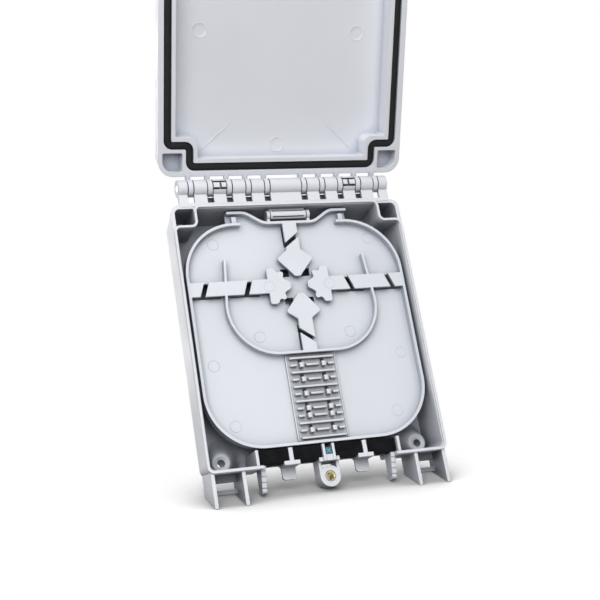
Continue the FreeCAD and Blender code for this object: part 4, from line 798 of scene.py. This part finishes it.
class BOX_OT_insert(Operator):
    """Knurled and threaded brass insert in the screw ear"""

    bl_idname = "transition_box.insert"
    bl_label = "Screw insert"

    AROUND, THREAD_RINGS, OUTER_RINGS, TEETH = 96, 150, 12, 32
    PLAIN, THREADED, KNURLED = 0, 1, 2
    BEVEL, KNURL = 0.0003, 0.00009

    def execute(self, context):
        """A closed profile turned about Y: a knurled outside, a bevelled mouth and a bore with a thread."""
        screw = context.scene.box_screw
        front, back, bevel = screw.insert_front, screw.insert_back, self.BEVEL
        bore, outside = screw.insert_bore, screw.insert_radius
        counts = [2, self.THREAD_RINGS, 2, self.OUTER_RINGS]
        zone = np.repeat([self.PLAIN, self.THREADED, self.PLAIN, self.KNURLED], counts)
        thread_y = np.linspace(front + bevel, back - bevel, self.THREAD_RINGS)
        outer_y = np.linspace(back - bevel, front + bevel, self.OUTER_RINGS)
        depth = np.concatenate([[front, front], thread_y, [back, back], outer_y])
        radius = np.where(zone == self.THREADED, bore, outside)
        radius[zone == self.PLAIN] = (
            outside - bevel, bore + bevel + screw.depth, bore + bevel, outside - bevel
        )
        angle = ring(self.AROUND)[:, None]
        groove = thread(depth, angle, screw.pitch, screw.depth) * (zone == self.THREADED)
        knurl = self.KNURL * (0.5 + 0.5 * np.cos(self.TEETH * angle)) * (zone == self.KNURLED)
        patch = (spun(radius + groove - knurl, depth, angle, z=screw.axis_z), True, True)
        piece = new_piece("screw_insert_brass", [patch], "base", "insert_brass")
        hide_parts("screw_insert")
        return {"FINISHED"}


class BOX_OT_closing_screw(Operator):
    """Slotted closing screw with its thread"""

    bl_idname = "transition_box.closing_screw"
    bl_label = "Closing screw"

    SIDE_POINTS, SLOT_POINTS, CHORD_POINTS, THREAD_RINGS = 18, 5, 9, 100
    # Rings of the head's rim that the slot cuts, and what is left below it.
    CUT_RINGS, BELOW_SLOT = 3, 0.0002
    BEVEL, TIP_LENGTH, TIP_SHARE = 0.0004, 0.0009, 0.62

    def execute(self, context):
        """The head's face is a disc swept by chords, lowered between the slot's walls. Its rim is then
        carried back along the axis: bevel, side, seat, shank, a helical thread and a pointed tip."""
        screw = context.scene.box_screw
        face_y, seat_y, neck_y, tip_y = screw.face_y, screw.seat_y, screw.neck_y, screw.tip_y
        bevel, shank = self.BEVEL, screw.shank_radius
        outside = screw.head_radius
        reach = outside - bevel
        edge = math.asin(screw.slot_width / 2 / reach)
        side = np.linspace(edge, math.pi / 2, self.SIDE_POINTS)
        turn = np.concatenate([-side[::-1], np.linspace(-edge, edge, self.SLOT_POINTS), side])
        counts = [self.SIDE_POINTS, self.SLOT_POINTS, self.SIDE_POINTS]
        floor = np.repeat([0.0, screw.slot_depth, 0.0], counts)
        chord = np.linspace(-1.0, 1.0, self.CHORD_POINTS)
        face = np.empty((len(turn), len(chord), 3))
        face[..., 0] = reach * np.cos(turn)[:, None] * chord
        face[..., 1] = (face_y + floor)[:, None]
        face[..., 2] = screw.axis_z + reach * np.sin(turn)[:, None]

        angle = np.concatenate([turn, math.pi - turn[::-1]])[:, None]
        level = np.concatenate([floor, floor[::-1]])[:, None]
        head = np.array([
            (face_y, reach), (face_y + bevel, outside),
            (face_y + screw.slot_depth + self.BELOW_SLOT, outside),
            (seat_y - bevel / 2, outside), (seat_y, outside - bevel / 2),
            (seat_y, shank), (neck_y - screw.pitch, shank),
        ])
        tip = np.array([(tip_y, shank * self.TIP_SHARE), (tip_y, 0.0)])
        thread_y = np.linspace(neck_y, tip_y - self.TIP_LENGTH, self.THREAD_RINGS)
        depth = np.concatenate([head[:, 0], thread_y, tip[:, 0]])
        taper = np.clip((thread_y - neck_y) / (2 * screw.pitch), 0.0, 1.0)
        threaded = shank - thread(thread_y, angle, screw.pitch, screw.depth) * taper
        every = np.ones_like(angle)
        radius = np.concatenate([every * head[:, 1], threaded, every * tip[:, 1]], axis=1)
        rim = spun(radius, depth, angle, z=screw.axis_z)
        cut = rim[:, :self.CUT_RINGS, 1]
        np.maximum(cut, face_y + level, out=cut)
        patches = [(opened(face), False, False), (opened(rim), True, False)]
        piece = new_piece("closing_screw_steel", patches, "closing_screw", "pin_steel", sharp=30.0)
        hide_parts("lid_screw")
        return {"FINISHED"}


class BOX_OT_mould_marks(Operator):
    """Round ejector marks and mould lines left by moulding, and the cross on the small plug"""

    bl_idname = "transition_box.mould_marks"
    bl_label = "Mould marks"

    # A mark's front and back from its rim to its middle: shares of its radius, then of its height.
    FRONT = ((1.0, 0.95, 0.90, 0.85, 0.5, 0.0), (-0.2, 1.0, 1.0, 0.15, 0.15, 0.15))
    BACK = ((1.0, 0.0), (-0.2, -0.5))
    AROUND_MARK, AROUND_RIDGE, ALONG_RIDGE, END_POWER = 48, 12, 24, 8
    CROSS_INSET = 0.2

    def execute(self, context):
        """A mark is a flat low disc inside a low ring, turned about Y. A line or bar is a low round ridge."""
        mark = context.scene.box_marks
        patches = []
        for y, places in ((mark.tray_floor_y, FLOOR_MARKS), (mark.arm_y, ARM_MARKS)):
            for x, z in places:
                for grid in self.disc((x, y, z), mark.radius, mark.height):
                    patches.append((grid, True, False))
        plastic = self.polished("cassette_white")
        new_piece("cassette_ejector_marks", patches, "base", "cassette_white", plastic)

        patches = []
        for x, z in LID_MARKS:
            for grid in self.disc((x, mark.lid_panel_y, z), mark.lid_radius, -mark.height):
                patches.append((opened(grid), True, False))
        for side in (-1.0, 1.0):
            start, end = np.array(LID_LINE) * (side, 1.0)
            grid = self.ridge(start, end, mark.lid_panel_y, mark.line_width, mark.line_height)
            patches.append((opened(grid), False, True))
        new_piece("lid_mould_marks", patches, "lid", "housing_grey", self.polished("housing_grey"))

        low, high = (np.array(corner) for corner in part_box("port_plug"))
        inset = self.CROSS_INSET * (high - low)
        left, _, foot = low + inset
        right, _, top = high - inset
        patches = [
            (self.ridge(start, end, low[1], mark.cross_width, mark.cross_height), False, True)
            for start, end in (((left, foot), (right, top)), ((left, top), (right, foot)))
        ]
        new_piece("port_plug_cross", patches, "base", "plug_teal", self.polished("plug_teal", **CROSS))
        return {"FINISHED"}

    def disc(self, spot, radius, height):
        """Front and back of a round mark: rings of points about Y, lifted by a profile from rim to middle."""
        x, y, z = spot
        angle = ring(self.AROUND_MARK)[:, None]
        profiles = np.array(self.FRONT), np.array(self.BACK)
        return [spun(radius * share, y - height * lift, angle, x, z) for share, lift in profiles]

    def ridge(self, start, end, y, width, height):
        """An ellipse swept along a straight line in X and Z, thinning to nothing at both ends."""
        start, end = np.array(start), np.array(end)
        along = np.linspace(0.0, 1.0, self.ALONG_RIDGE)[:, None]
        around = ring(self.AROUND_RIDGE)
        slim = np.sqrt(np.clip(1.0 - (2 * along - 1) ** self.END_POWER, 0.0, 1.0))
        swell = slim * np.cos(around) * width / 2
        run = (end - start) / np.linalg.norm(end - start)
        x = start[0] + (end - start)[0] * along + run[1] * swell
        z = start[1] + (end - start)[1] * along - run[0] * swell
        return np.stack([x, y + slim * np.sin(around) * height, z], axis=2)

    def polished(self, slot, gain=1.0, **shade_settings):
        """The slot's plastic as a pin leaves it, with a gain in colour, and other painted shade settings
        where given.
        """
        tint = gain * np.array(getattr(bpy.context.scene.box_colours, slot))
        plastic = dict(zip(MOULDED_NAMES, MOULDED[slot]))
        return moulded_finish(slot + "_mark", tint, **{**plastic, **POLISH, **shade_settings})


class BOX_OT_stage(Operator):
    """Pale floor, soft light and the camera"""

    bl_idname = "transition_box.stage"
    bl_label = "Stage"

    # The tips of the feet, the gap below them, and how far the box leans back over which height.
    FOOT, GAP, LEAN = (0.0, -0.0248, -0.0952), 0.0002, (0.0095, 0.0188)
    AIM_HEIGHT = 0.12
    # The floor's reach to its sides, behind the feet and ahead of them, and its points across and along.
    FLOOR_SIDE, FLOOR_BEHIND, FLOOR_AHEAD, FLOOR_POINTS = 0.45, 0.085, 0.40, (19, 12)
    PAPER = ((0.46, 0.46, 0.46, 1.0), (0.49, 0.49, 0.49, 1.0))
    # A painted shadow on the floor: how far off the box it dims the floor's white, and how open to the sky
    # the floor lies where the white starts and where it is full.
    SHADOW_REACH, SHADOW = 0.075, (0.48, 1.0)
    # The floor fades out over an oval: its scale and shift in X and Y, and where the fade starts and ends.
    FADE_SCALE, FADE_SHIFT, FADE = (4.2, 9.6, 0.0), (0.0, 0.48, 0.0), (0.35, 0.96)

    def execute(self, context):
        """The floor is the plane under the tips of the feet. The box leans back on it, so the plane is tilted
        in the frame."""
        scene = context.scene
        stage = scene.box_stage
        scene.view_settings.view_transform = "Standard"
        lean = math.atan2(*self.LEAN)
        up = np.array([0.0, -math.sin(lean), math.cos(lean)])
        ahead = np.array([0.0, -math.cos(lean), -math.sin(lean)])
        right = np.array([1.0, 0.0, 0.0])
        foot = np.array(self.FOOT) - up * self.GAP
        self.floor(stage, foot, right, ahead)
        self.lamps(stage, foot, right, ahead, up)
        self.room(stage, scene)
        self.camera(stage, scene)
        return {"FINISHED"}

    def floor(self, stage, foot, right, ahead):
        """A flat grid over the plane: white to the camera, with a painted shadow near the box, fading out
        away from it.
        """
        columns, rows = self.FLOOR_POINTS
        across = np.linspace(-self.FLOOR_SIDE, self.FLOOR_SIDE, columns)
        away = np.linspace(-self.FLOOR_BEHIND, self.FLOOR_AHEAD, rows)
        grid = foot + across[:, None, None] * right + away[None, :, None] * ahead
        mesh = bpy.data.meshes.new("floor")
        mesh.from_pydata(grid.reshape(-1, 3).tolist(), [], grid_faces(columns, rows)[:, ::-1].tolist())
        board = bpy.data.objects.new("floor", mesh)
        bpy.context.scene.collection.objects.link(board)
        paper = Finish("floor_paper")
        fibre = paper.noise(scale=60.0, detail=4.0)
        paper.colour_from(paper.blend(fibre, "Fac", *self.PAPER))
        paper.skin.inputs["Roughness"].default_value = 0.9
        paper.skin.inputs["Specular IOR Level"].default_value = 0.0
        paper.bump(fibre, "Fac", depth=0.00002, strength=0.2)
        smooth = {"interpolation_type": "SMOOTHSTEP"}
        # Painted shadow: the floor's white is dimmed where the box shuts out the sky.
        near = paper.add("ShaderNodeAmbientOcclusion", {"Distance": self.SHADOW_REACH}, samples=16)
        sky = paper.between(near, "AO", 0.0, stage.floor_glow, *self.SHADOW, **smooth)
        shares = (paper.looked_at(), "Value"), (sky, "Result")
        glow = paper.pair("ShaderNodeMath", *shares, operation="MULTIPLY")
        white = paper.add("ShaderNodeEmission")
        paper.join(glow, "Value", white, "Strength")
        lit = paper.pair("ShaderNodeAddShader", (paper.skin, "BSDF"), (white, "Emission"))
        far = paper.add("ShaderNodeVectorMath", operation="LENGTH")
        paper.join(*paper.stretched(self.FADE_SCALE, self.FADE_SHIFT), far, 0)
        fade = paper.between(far, "Value", 0.0, 1.0, *self.FADE, **smooth)
        edge = paper.pair("ShaderNodeMixShader", (fade, "Result"), (lit, "Shader"))
        paper.join(paper.add("ShaderNodeBsdfTransparent"), "BSDF", edge, 2)
        paper.join(edge, "Shader", paper.out, "Surface")
        mesh.materials.append(paper.material)

    def lamps(self, stage, foot, right, ahead, up):
        """Softboxes in front, overhead, at both sides and behind, which face the middle of the box."""
        aim = foot + up * self.AIM_HEIGHT
        for name, (power, size, place) in SOFTBOXES.items():
            spot = aim + np.array(place) @ np.stack([ahead, right, up])
            lamp = bpy.data.lights.new(name, "AREA")
            lamp.energy, lamp.size = getattr(stage, power), size
            holder = bpy.data.objects.new(name, lamp)
            bpy.context.scene.collection.objects.link(holder)
            back = (spot - aim) / np.linalg.norm(spot - aim)
            side = np.cross(up, back)
            side /= np.linalg.norm(side)
            holder.matrix_world = self.turned(side, np.cross(back, side), back, spot)

    def room(self, stage, scene):
        """White behind everything the camera sees, with a plain even light all round."""
        scene.world = bpy.data.worlds.new("studio")
        scene.world.use_nodes = True
        nodes = Nodes(scene.world.node_tree)
        out = nodes.add("ShaderNodeOutputWorld")
        back = nodes.add("ShaderNodeBackground", {"Color": (1.0, 1.0, 1.0, 1.0)})
        light = nodes.between(nodes.looked_at(), "Value", stage.room_light, 1.0, start=0.0, end=1.0)
        nodes.join(light, "Result", back, "Strength")
        nodes.join(back, "Background", out, "Surface")

    def camera(self, stage, scene):
        """The photograph's own place and turn, with the right turned square to the way ahead."""
        lens = bpy.data.cameras.new("camera")
        lens.lens = stage.lens
        holder = bpy.data.objects.new("camera", lens)
        scene.collection.objects.link(holder)
        ahead = CAMERA_AHEAD / np.linalg.norm(CAMERA_AHEAD)
        right = CAMERA_RIGHT - ahead * (CAMERA_RIGHT @ ahead)
        right /= np.linalg.norm(right)
        holder.matrix_world = self.turned(right, np.cross(right, ahead), -ahead, CAMERA_SPOT)
        scene.camera = holder

    def turned(self, right, up, back, spot):
        """A place whose columns are its right, its up, its back and its spot."""
        columns = np.eye(4)
        columns[:3] = np.stack([right, up, back, spot], axis=1)
        return Matrix(columns.tolist())


class BOX_PT_panel(Panel):
    """Steps of the finish, in order"""

    bl_label = "Transition Box"
    bl_idname = "BOX_PT_panel"
    bl_space_type = "VIEW_3D"
    bl_region_type = "UI"
    bl_category = "Transition Box"

    def draw(self, context):
        for step in STEPS:
            self.layout.operator(step.bl_idname)
        for name, group in GROUPS.items():
            box = self.layout.box()
            for item in group.__annotations__:
                box.prop(getattr(context.scene, name), item)


STEPS = (
    BOX_OT_housing,
    BOX_OT_cassette,
    BOX_OT_comb,
    BOX_OT_screw_seats,
    BOX_OT_adapter,
    BOX_OT_gasket,
    BOX_OT_entry_seals,
    BOX_OT_insert,
    BOX_OT_closing_screw,
    BOX_OT_mould_marks,
    BOX_OT_stage,
)
GROUPS = {
    "box_colours": BoxColours,
    "box_seals": SealSizes,
    "box_screw": ScrewSizes,
    "box_comb": CombSizes,
    "box_seats": SeatSizes,
    "box_marks": MarkSizes,
    "box_stage": StageSettings,
}


def register():
    for name, group in GROUPS.items():
        bpy.utils.register_class(group)
        setattr(bpy.types.Scene, name, PointerProperty(type=group))
    for step in (*STEPS, BOX_PT_panel):
        bpy.utils.register_class(step)


def unregister():
    for step in reversed((*STEPS, BOX_PT_panel)):
        bpy.utils.unregister_class(step)
    for name, group in GROUPS.items():
        delattr(bpy.types.Scene, name)
        bpy.utils.unregister_class(group)


def main():
    register()
    bpy.ops.transition_box.housing()
    bpy.ops.transition_box.cassette()
    bpy.ops.transition_box.comb()
    bpy.ops.transition_box.screw_seats()
    bpy.ops.transition_box.adapter()
    bpy.ops.transition_box.gasket()
    bpy.ops.transition_box.entry_seals()
    bpy.ops.transition_box.insert()
    bpy.ops.transition_box.closing_screw()
    bpy.ops.transition_box.mould_marks()
    bpy.ops.transition_box.stage()


if __name__ == "__main__":
    main()
